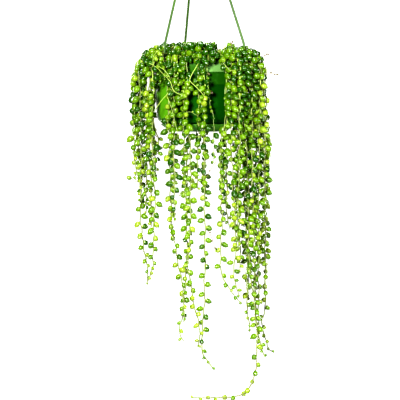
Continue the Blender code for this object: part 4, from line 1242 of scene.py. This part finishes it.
# Each has its route as (across, behind, drop) points, its radius, how old it looks, and its leaves
# as (share of the way, angle seen from the front, radius, tint). Lengths are in millimetres.
WILD_STEMS = (
    (((-81.5, -20, 4.3), (-72.9, -57, 3.6), (-65.8, -65, 5.7), (-57.2, -73, 11.4), (-50.1, -78, 18.6),
     (-42.9, -82, 25.7), (-38.6, -84, 31.5), (-34.3, -87, 42.9), (-24.3, -90, 48.6), (-17.2, -80, 50.1)),
     0.55, -0.6, ((0.45, 60, 1.5, LIME), (0.6, 30, 1.4, LIME), (0.93, -20, 3.6, LIME))),
    (((-58.6, -54, 4.3), (-54.3, -77, 9.3), (-47.2, -82, 14.3), (-40, -84, 24.3), (-37.9, -70, 34.3)),
     0.46, -0.5, ((0.3, 240, 1.5, LIME), (0.7, 200, 1.3, LIME))),
    (((1.4, -80, 2.9), (-2.9, -92, 10), (-8.6, -93, 20), (-11.4, -93, 28.6), (-2.9, -93, 37.2),
     (7.2, -92, 48.6), (8.6, -80, 54.3)), 0.56, -0.6, ((0.52, 190, 1.3, LIME), (0.9, 200, 3.4, GREEN))),
    (((-54.3, -59, -14.3), (-57.2, -73, -12.9), (-62.9, -69, -5.7), (-63.6, -68, 7.2), (-61.5, -51, 12.9)),
     0.52, -0.5, ((0.3, 330, 3.6, LIME), (0.45, 310, 3.4, LIME))),
    (((-40, -69, 44.3), (-42.9, -83, 47.2), (-52.9, -77, 58.6), (-61.5, -70, 71.5), (-65.8, -46, 75.8)),
     0.48, -0.5, ((0.85, 200, 2.6, LIME),)),
    (((-18.6, -78, 75.8), (-15.7, -92, 73.6), (-10, -93, 72.9), (-2.9, -93, 77.2), (1.4, -80, 77.2)), 0.42,
     -0.6, ((0.55, 80, 1.2, LIME),)),
    (((-44.3, -67, 50.1), (-42.9, -83, 52.9), (-37.2, -86, 68.6), (-32.9, -87, 85.8), (-28.6, -89, 105.8),
     (-28.6, -75, 114.4)), 0.48, -0.5, ((0.8, 20, 1.2, LIME),)),
    (((25.7, -76, 143), (20, -76, 151.6), (14.3, -76, 161.6), (10, -76, 168.7)), 0.5, 1.1,
     ((0.5, 210, 1.1, DRY), (0.8, 30, 0.9, DRY))),
    (((-62.9, -60, 82.9), (-62.9, -60, 88.7), (-57.2, -60, 110.1), (-56.5, -60, 135.8)), 0.45, 0.7,
     ((0.9, -30, 3, GREEN), (0.5, 200, 1, DRY))),
    (((-84.4, -24, 168.7), (-87.2, -24, 173), (-91.5, -24, 171.6), (-94.4, -24, 168.7)), 0.5, 0.0,
     ((0.97, 165, 3.4, LIME),)),
    (((93, -26, 94.4), (94.4, -26, 100.1), (95.1, -26, 135.8), (95.1, -26, 171.6), (95.8, -26, 200.2)),
     0.5, 0.0, ((0.55, -20, 2.2, GREEN), (0.96, -60, 2, LIME))),
    (((32.9, -73, 2.9), (35.8, -86, 4.3), (41.5, -85, 10), (45.8, -83, 14.3), (57.2, -76, 12.9),
     (61.5, -51, 15.7)), 0.52, -0.5, ((0.18, 90, 3.6, LIME), (0.55, 250, 3.6, LIME),
     (0.8, 20, 3.4, LIME))),
    (((85.8, -20, 0), (93, -20, -4.3), (99.4, -20, -8.6)), 0.45, 1.4, ((0.9, 60, 1.2, DRY),
     (0.98, -20, 1, DRY), (0.7, 100, 0.8, DRY))),
    (((91.5, -30, 24.3), (98.7, -30, 20), (105.8, -30, 18.6), (111.5, -30, 20.7)), 0.45, 1.4,
     ((0.65, 70, 1.2, DRY), (0.85, -60, 1, DRY), (0.98, 10, 1.3, DRY))),
    (((44.3, -45, -15.7), (47.2, -45, -21.5), (48.6, -45, -25)), 0.45, 1.4, ((0.8, 150, 1.2, DRY),
     (0.97, 60, 1.3, DRY))),
    (((30, -48, -8), (33.5, -50, -11), (35, -51, -13)), 0.45, 1.4, ((0.6, 20, 1.4, DRY),
     (0.95, 120, 1.2, DRY))),
    (((11.4, -78, 237.4), (15.7, -78, 243.1), (20, -78, 253.1), (24.3, -78, 267.4)), 0.45, 1.1,
     ((0.3, 60, 1.2, DRY), (0.6, 200, 1.1, DRY), (0.96, 300, 1.4, DRY))),
    (((-74.4, -30, 198.8), (-76.5, -30, 203.1), (-78.6, -30, 205.9)), 0.35, 0.9, ((0.95, 220, 1.3, DRY),)),
)

wild_draw = random.Random("wild stems")
wild_stems, wild_leaves = [], []
for places, thickness, look_age, shoots in WILD_STEMS:
    points = [Vector((metres(x), metres(y), RIM_Z - metres(drop))) for x, y, drop in places]
    line = smooth_curve(points, WILD_STEP)
    wild_stems.append(stem_of(line, metres(thickness), look_age, wild_draw))
    for share, angle, radius, shade in shoots:
        way = Vector((math.cos(math.radians(angle)), -0.45, math.sin(math.radians(angle)))).normalized()
        foot = line[round(share * (len(line) - 1))]
        roll = wild_draw.uniform(0, 6.28)
        wild_leaves.append((foot, way, roll, metres(radius), shade, wild_draw.uniform(0.95, 1.2)))
wild = grown("wild_stems", wild_stems, wild_leaves)


# Under the leaves lies the old growth: a mat of dead stems and dry leaves that grips the soil, its
# near-black green partly painted shade for the deep gaps between the leaves. It is one lumpy cushion
# that follows the crown's surface, a millimetre below it.
MAT_SIDES = 72
MAT_SINK = 0.0010
mat_bark, mat_tree, mat_shader = new_material("old growth", 0.9)
tangle = noise(mat_tree, on_piece(mat_tree), 190.0, 6.0, Distortion=1.5)
# Its greens are the old growth's dark tone, and also painted shade for the gaps between the leaves.
growth_and_shade_tone = mix(mat_tree, ramp(mat_tree, tangle, 0.40, 0.66), (0.002, 0.012, 0.0005), (0.010, 0.042, 0.002))
mat_tree.links.new(growth_and_shade_tone, mat_shader.inputs["Base Color"])
bumped(mat_tree, mat_shader, tangle, 1.0, 0.003)

mat_profile = [(0, CROWN_TOP[0][1] - MAT_SINK)]
for (r0, z0), (r1, z1) in zip(CROWN_TOP, CROWN_TOP[1:]):
    mat_profile += [(r0 + (r1 - r0) * t / 4, z0 + (z1 - z0) * t / 4 - MAT_SINK) for t in (1, 2, 3, 4)]
mat_profile += [(CROWN_EDGE_R - 0.0004, 0.0008), (0.0600, 0.0008), (0.0592, -0.0097), (0, -0.0097)]
mat_bm = turned([(r, z + RIM_Z) for r, z in mat_profile], MAT_SIDES)
lumps = random.Random("mat")
for vertex in mat_bm.verts:
    if vertex.co.z > RIM_Z + 0.0015:
        vertex.co.z = max(RIM_Z + 0.0010, vertex.co.z - mound_dip(vertex.co.x))
    if vertex.co.z > RIM_Z + 0.0030 and math.hypot(vertex.co.x, vertex.co.y) < CROWN_EDGE_R - 0.002:
        vertex.co.z += lumps.uniform(-0.0012, 0.0014)
mat = new_piece("mat_of_old_growth", mat_bm, mat_bark)
mat.data.shade_smooth()
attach(mat, "root")


low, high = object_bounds()
